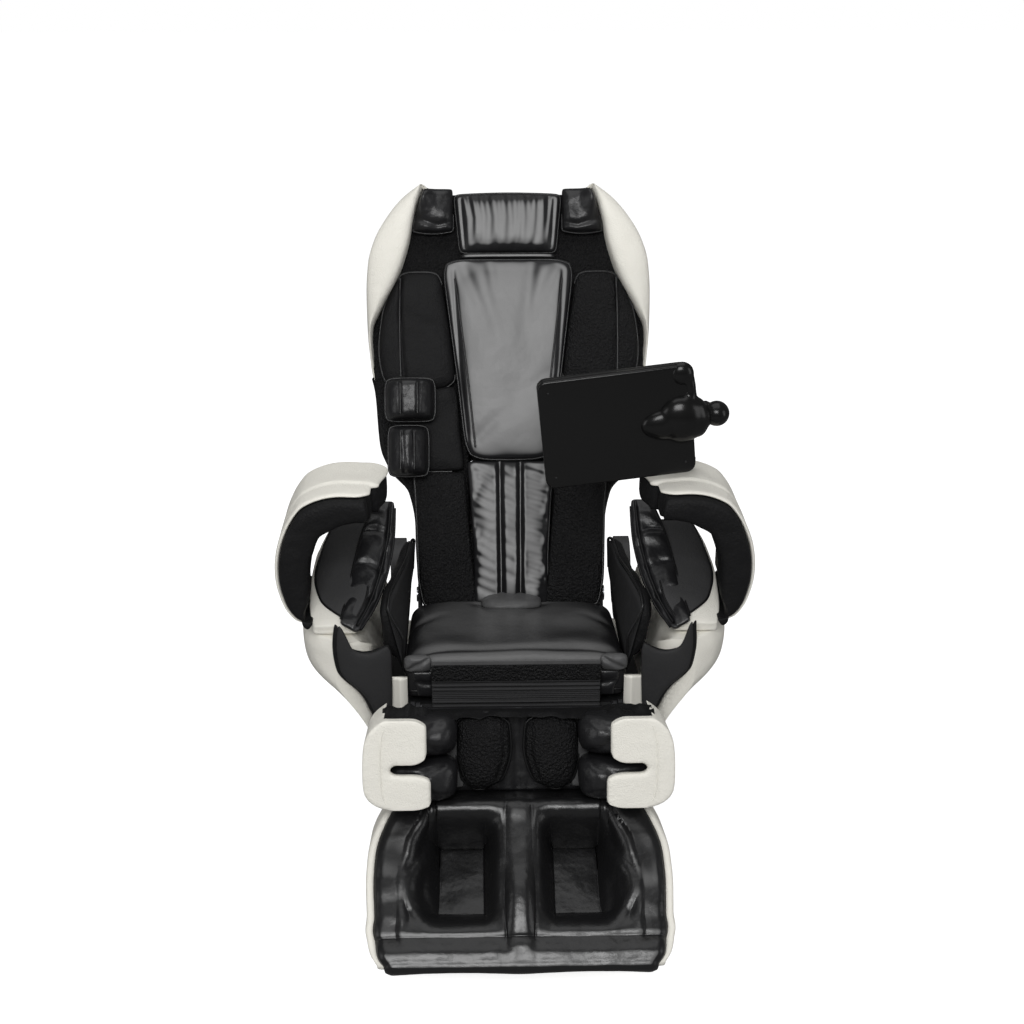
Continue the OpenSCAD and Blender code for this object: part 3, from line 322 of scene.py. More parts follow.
def unevenness(size, reach, seed, stretch=(1.0, 1.0)):
    def relief(x, z):
        return size * noise.noise(Vector((x * stretch[0] / reach, z * stretch[1] / reach, seed)))
    return relief


def together(*reliefs):
    return lambda x, z: sum(r(x, z) for r in reliefs)


# %% [markdown]
# The pad builder lays a grid over the outline, rounds its corners, lifts it by
# the crown, and closes it with straight sides and a flat back, as foam on a
# board is. One subdivision rounds the rim. It hands back the rim too, because
# piping is sewn along it.

# %% Pads
MADE = {}


def mesh_piece(name, verts, faces, finish, body, smooth=True):
    mesh = bpy.data.meshes.new(name)
    mesh.from_pydata([tuple(v) for v in verts], [], faces)
    mesh.update()
    shaped = bmesh.new()
    shaped.from_mesh(mesh)
    bmesh.ops.remove_doubles(shaped, verts=shaped.verts, dist=1e-5)
    bmesh.ops.recalc_face_normals(shaped, faces=shaped.faces)
    shaped.to_mesh(mesh)
    shaped.free()
    piece = bpy.data.objects.new(name, mesh)
    bpy.context.scene.collection.objects.link(piece)
    piece.data.materials.append(FINISH[finish])
    if smooth:
        mesh.polygons.foreach_set("use_smooth", [True] * len(mesh.polygons))
    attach(piece, body)
    MADE[name] = piece
    return piece


def rounder(piece, levels=1):
    mod = piece.modifiers.new("rounding", "SUBSURF")
    mod.levels = mod.render_levels = levels
    return piece


def stuffed(name, body, place, left, right, z0, z1, thick, edge, finish, corner=14, n=(36, 40),
            power=4.0, relief=None, arch=0.0, sag=0.0, levels=1, far_end=1.0):
    """left and right give the side edges at a height; place puts (x, height, z) in the chair, in mm."""
    nu, nv = n
    relief = relief or (lambda x, z: 0.0)

    def spot(u, v):
        z = (z0 + z1) / 2 + (z1 - z0) / 2 * v
        half = (right(z) - left(z)) / 2
        tall = (z1 - z0) / 2
        x = (right(z) + left(z)) / 2 + half * u * (1 - 0.29 * corner / half
                                                   * abs(v) ** max(4, 2 * tall / corner))
        z += -tall * v * 0.29 * corner / tall * abs(u) ** max(4, 2 * half / corner)
        z += arch * (1 - u * u) * max(0, v) ** 2 - sag * (1 - u * u) * max(0, -v) ** 2
        v_end = v * far_end if v > 0 else v
        crown = math.sqrt(max(0.0, (1 - abs(u) ** power) * (1 - abs(v_end) ** power)))
        fade = min(1.0, 1.6 * crown)
        return x, edge + (thick - edge) * crown + relief(x, z) * fade, z

    def step(i, count):
        t = 2 * i / count - 1
        return math.copysign(1 - (1 - abs(t)) ** 1.35, t)

    verts, faces = [], []
    for j in range(nv + 1):
        for i in range(nu + 1):
            verts.append(place(*spot(step(i, nu), step(j, nv))))
    m = nu + 1
    for j in range(nv):
        for i in range(nu):
            a = j * m + i
            faces.append((a, a + 1, a + m + 1, a + m))
    ring = ([(i, 0) for i in range(nu)] + [(nu, j) for j in range(nv)]
            + [(i, nv) for i in range(nu, 0, -1)] + [(0, j) for j in range(nv, 0, -1)])
    top = [j * m + i for i, j in ring]
    spots = [spot(step(i, nu), step(j, nv)) for i, j in ring]
    for share in (0.5, 0.0):
        base = len(verts)
        verts += [place(x, h * share, z) for x, h, z in spots]
        row = list(range(base, base + len(ring)))
        for k in range(len(ring)):
            k2 = (k + 1) % len(ring)
            faces.append((top[k], row[k], row[k2], top[k2]))
        top = row
    verts.append(place(sum(s[0] for s in spots) / len(spots), 0, sum(s[2] for s in spots) / len(spots)))
    faces += [(top[k], len(verts) - 1, top[(k + 1) % len(ring)]) for k in range(len(ring))]
    piece = mesh_piece(name, verts, faces, finish, body)
    rounder(piece, levels)
    piece["rim"] = json.dumps([[list(s), list(q)] for s, q in zip(spots, ring)])
    return piece


def declare(piece, fill, *nodes, slot=BLACK):
    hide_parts(*nodes)
    return piece


# %% [markdown]
# Piping is a thin cord covered in leather and sewn into a seam. It is a curve
# with a round section, laid a little outside the rim it follows.

# %% Piping


def piping(name, body, points, radius=2.4, closed=False, finish="piping", slot=BLACK):
    curve = bpy.data.curves.new(name, "CURVE")
    curve.dimensions = "3D"
    curve.bevel_depth = radius * MM
    curve.bevel_resolution = 2
    line = curve.splines.new("NURBS")
    line.points.add(len(points) - 1)
    for spot, p in zip(line.points, points):
        spot.co = (*p, 1.0)
    line.use_cyclic_u = closed
    line.use_endpoint_u = not closed
    line.order_u = 3
    piece = bpy.data.objects.new(name, curve)
    bpy.context.scene.collection.objects.link(piece)
    curve.materials.append(FINISH[finish])
    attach(piece, body)
    MADE[name] = piece
    return piece


def rim_piping(pad, place, body, keep=lambda x, z: True, lift=0.8, grow=1.0, radius=2.4, suffix="_piping"):
    """Piping round a pad's rim, where keep(x, z) says so."""
    spots = [s for s, q in json.loads(pad["rim"])]
    mid = (sum(s[0] for s in spots) / len(spots), sum(s[2] for s in spots) / len(spots))
    on = [keep(s[0], s[2]) for s in spots]
    start = next((k for k in range(len(spots)) if on[k] and not on[k - 1]), None)
    order = range(len(spots)) if start is None else [(start + k) % len(spots) for k in range(len(spots))]
    points = []
    for k in order:
        if not on[k]:
            if start is not None and points:
                break
            continue
        x, h, z = spots[k]
        d = math.hypot(x - mid[0], z - mid[1])
        points.append(place(x + grow * (x - mid[0]) / d, h * lift, z + grow * (z - mid[1]) / d))
    return piping(pad.name + suffix, body, points, radius, closed=start is None)


def on_board(x, h, z):
    return BACK @ Vector((x * MM, (-46.3 - h) * MM, z * MM))


print("helpers ready")

# %% [markdown]
# ## The backrest's shell
# The shell is a moulding wrapped in ivory leather. Seen from the front it is
# narrow at the hips, widest at the shoulders and ends in two wing tips beside
# the head. It is made like a bowl: its rim follows the outline, columns run
# from the rim round to the middle of the back, and beside the head each column
# also turns forward over the padded wing. A solidify modifier gives the wall.

# %% Backrest outline
side_x = through([(30, 196), (100, 200), (150, 201), (225, 216), (266, 252), (320, 275), (436, 285),
                  (479, 294),
                  (560, 302), (640, 303), (705, 299), (755, 285), (804, 258), (847, 227), (872, 200),
                  (881, 187)])
inner_x = through([(380, 255), (440, 281), (516, 288), (550, 290), (580, 286), (591, 279), (621, 264),
                   (666, 239), (709, 222), (755, 209), (806, 200), (828, 194), (863, 184), (881, 181)])
front_y = through([(30, -12), (400, -16), (450, -24), (480, -45), (540, -74), (640, -104), (720, -112),
                   (790, -108), (850, -84), (884, -60)])
back_y = through([(30, 150), (80, 170), (560, 172), (690, 163), (780, 142), (840, 112), (884, 66)])


def shell_rim(t):
    """The outline from the bottom middle (t = 0) round the right side to the top middle (t = 1)."""
    if t < 0.12:
        return 196 * ease(t / 0.12) ** 0.8, 34 + 4 * (t / 0.12)
    if t < 0.86:
        z = 38 + (879 - 38) * ((t - 0.12) / 0.74) ** 0.92
        return side_x(z), z
    s = (t - 0.86) / 0.14
    return 190 - 60 * ease(s * 2) if s < 0.5 else 130 * (1 - (s - 0.5) / 0.5), 881 - 40 * ease(s * 2.2)


def shell_column(t, rows=15):
    x, z = shell_rim(t)
    front, back = front_y(z), back_y(z)
    wing = ease((z - 430) / 60) * (1 - ease((t - 0.875) / 0.02))
    if t > 0.86:
        front = front_y(884) * (1 - ease((t - 0.86) / 0.05)) - 36 * ease((t - 0.86) / 0.05)
    ends = (0.0, max(60.0, min(z, 800)) if t < 0.86 else 800 + 40 * (t - 0.86) / 0.14)
    column = []
    if wing > 0.01:
        xi = min(inner_x(z), x - 4)
        root = -32 + 14 * wing
        column += [(xi + 3 * wing, root, z), (xi, (root + front) / 2, z), (xi + 1, front + 14, z),
                   (xi + 5, front + 3, z), (xi + (x - xi) * 0.35, front - 2, z),
                   (xi + (x - xi) * 0.7, front + 4, z), (x - 3, front + 13, z)]
    else:
        column += [(x - 5, front + k * 0.5, z) for k in range(6)] + [(x - 2, front + 8, z)]
    for k in range(rows):
        a = math.pi / 2 * k / (rows - 1)
        g, h = math.cos(a) ** 0.72 if k < rows - 1 else 0.0, math.sin(a) ** 0.72
        column.append((ends[0] + (x - ends[0]) * g, front + 26 + (back_y(ends[1]) - front - 26) * h,
                       ends[1] + (z - ends[1]) * g))
    return column


# %% Backrest shell
columns = [shell_column(i / 90) for i in range(91)]
verts, faces = [], []
for side in (1, -1):
    base = len(verts)
    for column in columns:
        verts += [BACK @ (Vector((side * x, y, z)) * MM) for x, y, z in column]
    m = len(columns[0])
    for i in range(len(columns) - 1):
        for j in range(m - 1):
            a = base + i * m + j
            faces.append((a, a + m, a + m + 1, a + 1) if side > 0 else (a, a + 1, a + m + 1, a + m))
shell = mesh_piece("backrest_shell", verts, faces, "ivory_leather", "backrest")
wall = shell.modifiers.new("wall", "SOLIDIFY")
wall.thickness = 0.005
wall.offset = -1
rounder(shell)
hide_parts("back_shell")
print("shell columns:", len(columns))

# %% [markdown]
# Black leather covers the board between the wings. Below the wings it wraps
# round to the sides, so the front shows only black there. The board keeps its
# window for the kneading rollers, and its edge is rolled over foam.

# %% Backrest board


def softened(node, name, finish, body, voxel, rounds, slot, shape=None):
    """A copy of a moulding with its hard edges eased, as leather over foam has."""
    piece = frame["nodes"][node].copy()
    piece.data = frame["nodes"][node].data.copy()
    for key in list(piece.keys()):
        del piece[key]
    piece.parent = None
    piece.matrix_world = Matrix.Identity(4)
    piece.name = piece.data.name = name
    bpy.context.scene.collection.objects.link(piece)
    piece.data.materials.clear()
    piece.data.materials.append(FINISH[finish])
    bpy.context.view_layer.objects.active = piece
    grid = piece.modifiers.new("grid", "REMESH")
    grid.mode = "VOXEL"
    grid.voxel_size = voxel * MM
    ease_out = piece.modifiers.new("ease", "SMOOTH")
    ease_out.iterations = rounds
    ease_out.factor = 0.5
    for mod in ("grid", "ease"):
        bpy.ops.object.modifier_apply(modifier=mod)
    piece.data.polygons.foreach_set("use_smooth", [True] * len(piece.data.polygons))
    if shape:
        for v in piece.data.vertices:
            v.co = shape(v.co)
    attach(piece, body)
    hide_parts(node)
    MADE[name] = piece
    return piece


board = softened("back_upholstery", "backrest_board", "pierced_leather", "backrest", 5, 6, BLACK)
for side in (-1, 1):
    roll = [BACK @ (Vector((side * (side_x(z) - 6), front_y(z) - 8, z)) * MM) for z in range(44, 470, 12)]
    piping("backrest_roll_" + ("right" if side > 0 else "left"), "backrest", roll, 9,
           finish="matte_leather")
print("board faces:", len(board.data.polygons))

# %% [markdown]
# The long back pad is one smooth cushion of shiny leather. It narrows towards
# the waist, folds fan out from its upper corners, and a dark piped border runs
# down each side. The border is part of the cushion's edge, so it gets a
# crease and piping instead of a second piece.

# %% Back pad
pad_left = through([(288, -92), (330, -96), (450, -108), (600, -126), (712, -140)])
pad_right = through([(288, 92), (330, 96), (450, 108), (600, 126), (712, 140)])
pad_folds = creased([
    ([(-96, 700), (-60, 610), (-40, 540)], 15, 6, 0.7),
    ([(-40, 706), (-30, 640), (-8, 560)], 12, 5, 0.8),
    ([(52, 704), (40, 620), (30, 560)], 14, 5.5, 0.7),
    ([(104, 696), (78, 640), (60, 600)], 12, 5, 0.8),
    ([(-70, 330), (-30, 370), (10, 385)], 14, 4, 0.7),
    ([(84, 470), (40, 430), (10, 420)], 14, 3, 0.8),
    ([(-118, 690), (-104, 480), (-86, 300)], 4, 5, 0.0),
    ([(118, 690), (104, 480), (86, 300)], 4, 5, 0.0),
])
# Its finish paints a pale grey sheen where the cushion faces forward; folds and rims stay black.
back_pad = stuffed("back_cushion", "backrest", on_board, pad_left, pad_right, 288, 712, 45, 24,
                   "back_leather_painted_sheen",
                   corner=34, n=(44, 60), relief=together(pad_folds, unevenness(7, 80, 1.3, (1.0, 0.6))),
                   sag=2)
declare(back_pad, 0.8, "back_pad", slot=BLACK)
rim_piping(back_pad, on_board, "backrest", radius=3.0)
for side in (-1, 1):
    seam = [on_board(side * (pad_right(z) - 21), 43.5 if z < 640 else 41, z) for z in range(310, 680, 20)]
    piping(f"back_cushion_border_{'right' if side > 0 else 'left'}", "backrest", seam, 2.2)
print("back cushion", round(2 * pad_right(712)), "mm wide at the top")

# %% [markdown]
# Below it runs the lumbar strip: three narrow tubes of leather with sewn
# channels between them. Shiny leather on a small radius breaks the light into
# jagged streaks, so its relief has short sharp folds, and the sheen painted
# into its colour makes them pale where they face forward and black in the
# folds. A rolled tab closes its lower end at the seat.

# %% Lumbar strip
strip_left = through([(-14, -78), (60, -78), (180, -84), (284, -92)])
strip_right = through([(-14, 78), (60, 78), (180, 84), (284, 92)])
strip_folds = creased(
    [([(-22, 290), (-20, -20)], 4.5, 15, 0), ([(22, 290), (20, -20)], 4.5, 15, 0)]
    + [([(-72 + 9 * math.sin(k), 270 - 21 * k), (-38, 252 - 21 * k)], 8, 4.5, 0.3) for k in range(13)]
    + [([(70 - 7 * math.sin(2 * k), 262 - 21 * k), (38, 272 - 21 * k)], 8, 4.5, 0.3) for k in range(13)]
    + [([(-12, 262 - 31 * k), (10, 250 - 31 * k)], 6, 2.6, 0.2) for k in range(8)])
strip = stuffed("lumbar_cushion", "backrest", on_board, strip_left, strip_right, -22, 283, 35, 16,
                "back_leather_painted_sheen", corner=10, n=(48, 64), power=5,
                relief=together(strip_folds, unevenness(5, 34, 4.1, (1.0, 0.5))))
declare(strip, 0.7, "lumbar_strip")
tab = stuffed("lumbar_tab", "backrest", lambda x, h, z: SEAT @ Vector((x * MM, z * MM, (h - 4) * MM)),
              lambda z: -64, lambda z: 64, 350, 432, 22, 6, "pale_leather", corner=20, n=(30, 20),
              power=3.0, sag=8, relief=unevenness(3, 40, 5.0))
rim_piping(strip, on_board, "backrest", keep=lambda x, z: 4 < z < 272, radius=2.4)

# %% [markdown]
# The head pillow hangs over a ledge. Its leather is loose, so folds run down
# it from the top, and both ends are rolled.

# %% Head pillow
pillow_left = through([(729, -102), (853, -114)])
pillow_right = through([(729, 102), (853, 114)])
pillow_folds = creased([([(x, 846), (x * 0.93 + 3, 800), (x * 0.9, 752)], w, d, 0.75) for x, w, d in
                        [(-84, 6, 5), (-66, 5, 4), (-45, 8, 6), (-20, 6, 4.5), (2, 7, 5.5), (24, 5, 4),
                         (44, 8, 5.5), (66, 5, 4.5), (88, 6, 5)]]
                       + [([(x, 733), (x + 6, 760)], 6, 3.4, 0.8) for x in (-70, -32, 12, 50, 82)]
                       + [([(-100, 842), (-92, 738)], 4, 5, 0), ([(100, 842), (92, 738)], 4, 5, 0)])
# The pillow and its ledge take the painted sheen: pale grey where they face forward, black in the folds.
pillow = stuffed("head_cushion", "backrest", on_board, pillow_left, pillow_right, 729, 853, 44, 18,
                 "back_leather_painted_sheen", corner=10, n=(48, 36), power=3.4, arch=3,
                 relief=together(pillow_folds, unevenness(3, 34, 2.2, (1.0, 0.4))))
declare(pillow, 0.55, "head_pillow")
rim_piping(pillow, on_board, "backrest", radius=2.4)
ledge = stuffed("pillow_ledge", "backrest", on_board, lambda z: -101, lambda z: 101, 716, 727.5, 26, 14,
                "back_leather_painted_sheen", corner=5, n=(24, 8))

# %% [markdown]
# Ear pads fill the corners beside the pillow. Their lower edges curve down
# over a dark recess.

# %% Ear pads
for side in (-1, 1):
    place = lambda x, h, z, side=side: on_board(side * x, h, z)
    ear = stuffed("ear_cushion_" + ("right" if side > 0 else "left"), "backrest", place,
                  through([(770, 117), (864, 117)]), lambda z: inner_x(z) - 2, 776, 866,
                  44, 20, "shiny_leather", corner=5, n=(26, 24), power=4.0, sag=5,
                  relief=together(creased([([(118, 792), (150, 786), (196, 800)], 5, 6, 0)]),
                                  unevenness(5, 34, side),
                                  lambda x, z: 26 * ease((x - 150) / 40) * ease((z - 800) / 50)))
    rim_piping(ear, place, "backrest", keep=lambda x, z: z < 812, radius=2.2)
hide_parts("ear_pads")

# %% [markdown]
# The shoulder blocks stand beside the back pad. Their top is square, a piped
# seam runs down near the outer edge and the lower end is cut in a curve. The
# panels below them follow the back's waist down to the seat.

# %% Shoulder blocks and side panels
for side in (-1, 1):
    label = "right" if side > 0 else "left"
    place = lambda x, h, z, side=side: on_board(side * x, h, z)
    block = stuffed("shoulder_block_" + label, "backrest", place,
                    through([(446, 112), (560, 126), (687, 144)]),
                    through([(446, 268), (520, 276), (600, 268), (687, 236)]),
                    446, 687, 40, 20, "matte_leather" if side < 0 else "pierced_leather", corner=24,
                    n=(34, 44), power=5,
                    sag=14, relief=together(creased([([(229, 684), (231, 600), (227, 520), (222, 450)], 4,
                                                      7, 0),
                                                     ([(130, 560), (220, 590)], 12, 3, 0.6)]),
                                            unevenness(3, 60, 5 + side)))
    rim_piping(block, place, "backrest", keep=lambda x, z: z < 470 or z > 660 or x > 180, radius=2.4)
    seam = [place(229.5 + 2 * math.sin((z - 450) / 75), 37 if z < 640 else 34, z)
            for z in range(462, 676, 14)]
    piping("shoulder_seam_" + label, "backrest", seam, 2.6)
    middle = stuffed("waist_panel_" + label, "backrest", place,
                     through([(262, 96), (340, 104), (444, 112)]),
                     through([(262, 206), (330, 244), (444, 262)]),
                     262, 444, 26, 16, "matte_leather", corner=16, n=(26, 30), power=6,
                     relief=together(unevenness(3, 70, 7 + side),
                                     creased([([(110, 420), (150, 350), (190, 300)], 16, 3, 0.5)])))
    lower = stuffed("hip_panel_" + label, "backrest", place,
                    through([(-24, 72), (60, 80), (180, 90), (262, 96)]),
                    through([(-24, 186), (40, 195), (120, 197), (200, 200), (262, 204)]),
                    -24, 260, 29, 15, "pierced_leather", corner=12, n=(28, 40), power=5, sag=0,
                    relief=unevenness(2.5, 70, 9 + side))
    rim_piping(lower, place, "backrest", keep=lambda x, z: x > 120, radius=3.4)
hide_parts("shoulder_panels")
print("side panels done")

# %% [markdown]
# The shoulder pods press forward when air fills them. Each is a sewn block of
# three facets with piping at the folds, so its crown is built from flat
# ramps instead of one dome.

# %% Shoulder pods


def faceted(lo, hi, peak, drop_in, drop_out):
    """Three facets across: a ramp, a narrow front face and a second ramp."""
    a, b = lo + (hi - lo) * 0.34, lo + (hi - lo) * 0.68

    def relief(x, z):
        if x < a:
            return -drop_in * (a - x) / (a - lo)
        if x > b:
            return -drop_out * (x - b) / (hi - b)
        return peak
    return relief


for side in (-1, 1):
    label = "right" if side > 0 else "left"
    for tag, lo, hi, z0, z1, thick in (("upper", 158, 262, 366, 456, 104),
                                       ("lower", 172, 256, 250, 356, 98)):
        place = lambda x, h, z, side=side: on_board(side * x, h, z)
        pod = stuffed(f"shoulder_pod_{tag}_{label}", "backrest", place, lambda z, v=lo: v, lambda z,
                      v=hi: v, z0, z1, thick - 4, 52, "shiny_leather", corner=16, n=(30, 26), power=7,
                      relief=together(faceted(lo, hi, 3, 22, 16), unevenness(3, 40, z0),
                                      creased([([(lo + 30, z1 - 8), (lo + 34, z0 + 8)], 3.5, 4, 0),
                                               ([(hi - 30, z1 - 8), (hi - 34, z0 + 8)], 3.5, 4, 0)])))
        for x in (lo + (hi - lo) * 0.34, lo + (hi - lo) * 0.68):
            seam = [place(x, thick - 3, z) for z in range(z0 + 12, z1 - 8, 8)]
            piping(f"pod_seam_{tag}_{label}_{round(x)}", "backrest", seam, 2.2)
        rim_piping(pod, place, "backrest", lift=0.96, radius=2.4)
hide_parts("shoulder_pods")
print("pods done")

# %% [markdown]
# ## The seat
# The cushion slopes back. Its front edge is one fat roll that catches the
# light, its middle is pressed a little flat, and at its ends the leather folds
# over in cuffs.

# %% Seat cushion


def on_seat(x, h, z):
    return SEAT @ Vector((x * MM, z * MM, (h - 96) * MM))


def seat_shape(x, y):
    front_roll = 5 * math.exp(-((y - 22) / 22) ** 2) - 5 * math.exp(-((y - 62) / 16) ** 2)
    dish = -7 * math.exp(-((y - 210) / 110) ** 2) * (1 - (x / 214) ** 2)
    return front_roll + dish


seat_relief = together(seat_shape, unevenness(3.5, 110, 3.3), creased([
    ([(-200, 30), (-160, 60), (-120, 66)], 9, 4, 0.8), ([(200, 30), (160, 60), (120, 66)], 9, 4, 0.8),
    ([(-206, 250), (-150, 300)], 14, 4, 0.7), ([(206, 250), (150, 300)], 14, 4, 0.7),
    ([(-70, 380), (-40, 330)], 14, 3, 0.7), ([(60, 384), (30, 330)], 14, 3, 0.7)]))
# The finish paints a pale grey sheen where the cushion faces up; its front and its folds stay dark.
seat = stuffed("seat_pad", "chassis", on_seat, lambda z: -213, lambda z: 213, 0, 424, 97, 62, "seat_leather_painted_sheen",
               corner=22, n=(56, 52), power=6, relief=seat_relief, far_end=0.75)
declare(seat, 0.8, "seat_cushion")
rim_piping(seat, on_seat, "chassis", keep=lambda x, y: y < 26 and abs(x) < 204, lift=0.42, grow=-1.5,
           radius=2.6)
for side in (-1, 1):
    cuff = stuffed("seat_cuff_" + ("right" if side > 0 else "left"), "chassis",
                   lambda x, h, z, side=side: Vector((side * x * MM, (-246 - h * 0.9) * MM, z * MM)),
                   lambda z: 160, lambda z: 212, 456, 489, 20, 8, "pale_leather", corner=12, n=(18, 14),
                   power=3, relief=together(creased([([(166, 484), (206, 462)], 4, 7, 0.2)]),
                                   unevenness(4, 18, side)))

# %% [markdown]
# Under the front edge hangs the apron: a pale trim and a stiff black band at
# the top, then pleats and bellows that close up when the leg rest rises. The
# folds are fine waves, and a small folded bracket closes each end.

# %% Front apron
lo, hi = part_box("front_apron")


def hung(name, z0, z1, finish, rows, out, fold=lambda t: 0.0):
    """A strip of leather that hangs across the front; fold(t) presses its pleats."""
    verts, across = [], 30
    for j in range(rows + 1):
        t = j / rows
        for i in range(across + 1):
            x = -160 + 320 * i / across
            ripple = 1.2 * noise.noise(Vector((x / 90, t * 12, z0 / 50)))
            verts.append(Vector((x, 1000 * lo.y + 4 - out - fold(t) + ripple * (rows > 4),
                                 z0 + (z1 - z0) * t)) * MM)
    m = across + 1
    faces = [(j * m + i, j * m + i + 1, (j + 1) * m + i + 1, (j + 1) * m + i) for j in range(rows)
             for i in range(across)]
    piece = mesh_piece(name, verts, faces, finish, "chassis")
    cloth = piece.modifiers.new("cloth", "SOLIDIFY")
    cloth.thickness = 0.003
    cloth.offset = 0
    rounder(piece)
    return piece


hung("apron_trim", 489, 479, "pale_leather", 4, 4)
hung("apron_band", 480, 445, "pierced_leather", 4, 5)
hung("apron_pleats", 447, 420, "grey_leather", 24, 2, lambda t: 2.6 * math.sin(t * 19))
apron = hung("apron_bellows", 423, 1000 * lo.z, "grey_leather", 60, 2,
             lambda t: 3.2 * math.sin(t * 34) * ease((t - 0.2) / 0.3)
             + 1.2 * math.sin(t * 77))
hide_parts("front_apron")
for side in (-1, 1):
    bracket = stuffed("apron_bracket_" + ("right" if side > 0 else "left"), "chassis",
                      lambda x, h, z, side=side: Vector((side * x * MM, (-246 - h) * MM, z * MM)),
                      lambda z: 158, lambda z: 188 + 8 * ease((z - 420) / 20), 404, 456, 13, 9,
                      "shiny_leather", corner=4,
                      n=(12, 14), relief=creased([([(158, 430), (200, 436)], 4, 5, 0)]))
print("apron", round(1000 * (hi.x - lo.x)), "mm wide")

# %% [markdown]
# The bolsters beside the seat stand like ears: a flat matte face towards the
# sitter, and puffed black leather outside, meeting in a piped edge that rises
# to a point at the rear.

# %% Hip bolsters
bolster_x = through([(-218, 243), (-180, 240), (-110, 228), (10, 215), (70, 207), (130, 203), (182, 209)])
bolster_z = through([(-218, 574), (-180, 586), (-110, 590), (10, 576), (70, 587), (130, 566), (150, 546),
                     (182, 476)])
for side in (-1, 1):
    label = "right" if side > 0 else "left"
    rows, face_n, cols = 40, 8, 24
    verts, faces = [], []
    for j in range(rows + 1):
        y = -218 + 400 * j / rows
        end = min(1.0, (8.0 * min(j, rows - j) / rows)) ** 0.5
        xt, zt, low = bolster_x(y), bolster_z(y) - 12 * (1 - end), 434 - 34 * ease((y + 218) / 200)
        ring = [(214.5 + (xt - 214.5) * k / face_n, low + (zt - low) * k / face_n)
                for k in range(face_n + 1)]
        for k in range(1, cols - face_n):
            a = k / (cols - face_n)
            wide = (14 + 8 * end) + (16 + 6 * end) * a
            puff = 1 + 0.16 * math.sin(a * 11 + y / 27) * math.sin(y / 31 + side)
            x = xt + (214.5 - xt) * a + wide * math.sin(math.pi * min(1, 0.12 + a * 1.1)) ** 0.5 * puff
            ring.append((min(x, 253.5) if zt + (low - zt) * a < 530 else min(x, 262),
                         zt + 3 + (low - zt - 3) * a))
        verts += [Vector((side * x * MM, y * MM, z * MM)) for x, z in ring]
    m = len(ring)
    faces = [(j * m + i, j * m + (i + 1) % m, (j + 1) * m + (i + 1) % m, (j + 1) * m + i)
             for j in range(rows) for i in range(m)]
    faces += [tuple(range(m)), tuple((rows + 1) * m - 1 - i for i in range(m))]
    bolster = mesh_piece("hip_bolster_" + label, verts, faces, "matte_leather", "chassis")
    rounder(bolster)
    ys = [-216 + 396 * k / 40 for k in range(41)]
    line = [Vector((side * 214 * MM, -219 * MM, z * MM)) for z in range(440, 520, 12)]
    line += [Vector((side * (bolster_x(y) - 1) * MM, y * MM, (bolster_z(y) - (10 if y < -212 else 2))
                     * MM)) for y in ys]
    piping("bolster_piping_" + label, "chassis", line, 3.0)
    verts = []
    for y in ys:
        for k in range(9):
            a = k / 8
            low = 440
            top = bolster_z(y) - 8 - (6 if y < -208 else 0)
            verts.append(Vector((side * (213.6 + (bolster_x(y) - 214.5) * a * 0.97) * MM, y * MM,
                                 (low + (top - low) * a) * MM)))
    faces = [(j * 9 + i, j * 9 + i + 1, (j + 1) * 9 + i + 1, (j + 1) * 9 + i) for j in range(40)
             for i in range(8)]
    face = mesh_piece("bolster_face_" + label, verts, faces, "grey_leather", "chassis")
    thin = face.modifiers.new("leather", "SOLIDIFY")
    thin.thickness = 0.0015
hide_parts("hip_bolsters")
print("bolsters done")

# %% [markdown]
# Beside the apron the inner walls end in an ivory strip that faces forward. It
# is part of the same moulding, folded once along its height.

# %% Inner wall ends
for side in (-1, 1):
    label = "right" if side > 0 else "left"
    section = [(206, -256), (218, -261), (220, -262.5), (222, -260), (236, -257), (252, -254), (252, -249),
               (206, -249)]
    verts = [Vector((side * x * MM, y * MM, z * MM)) for z in (264, 268, 330, 400, 440, 444) for x,
             y in section]
    faces = [(j * 8 + i, j * 8 + (i + 1) % 8, (j + 1) * 8 + (i + 1) % 8, (j + 1) * 8 + i) for j in range(5)
             for i in range(8)]
    faces += [tuple(range(8)), tuple(40 + i for i in range(8))]
    strip_end = mesh_piece("inner_wall_end_" + label, verts, faces, "ivory_plastic", "chassis")

# %% [markdown]
# ## The side covers
# Each cover is a bulging moulding: its width depends on the height, and it
# rounds off towards the front and the rear. Its belly is undercut towards the
# feet, so that the leg rest has room. A smooth minimum of those limits gives
# one soft form without edges.

# %% Side covers
cover_by_z = through([(115, 16), (160, 20), (250, 52), (300, 84), (340, 120), (392, 159), (430, 166),
                      (480, 164), (524, 152)])
cover_by_y = through([(-260, 84), (-250, 100), (-220, 132), (-180, 152), (-120, 164), (-60, 168),
                      (220, 168), (300, 150), (340, 110), (360, 60)])
cover_low = through([(-260, 255), (-250, 205), (-225, 165), (-180, 134), (-110, 116), (300, 116),
                     (330, 130), (352, 190), (360, 300)])
cover_high = through([(-260, 523), (150, 523), (220, 516), (290, 496), (340, 450), (360, 392)])


cover_belly = through([(200, 14), (230, 25), (257, 38), (285, 54), (312, 73), (339, 94), (366, 121),
                       (393, 142), (419, 155), (446, 163), (500, 172)])


def undercut(y, z):
    """The cover's belly draws in towards the feet, the more the further forward."""
    ahead = y + 110
    return (cover_belly(z + 0.515 * ahead) + 255.6) * (1 + 0.0003 * ahead) - 255.6 if ahead < 0 else \
        cover_belly(z + 0.515 * ahead) + 0.04 * ahead


def soft_min(a, b, k=18.0):
    d = max(0.0, k - abs(a - b)) / k
    return min(a, b) - d * d * k * 0.25


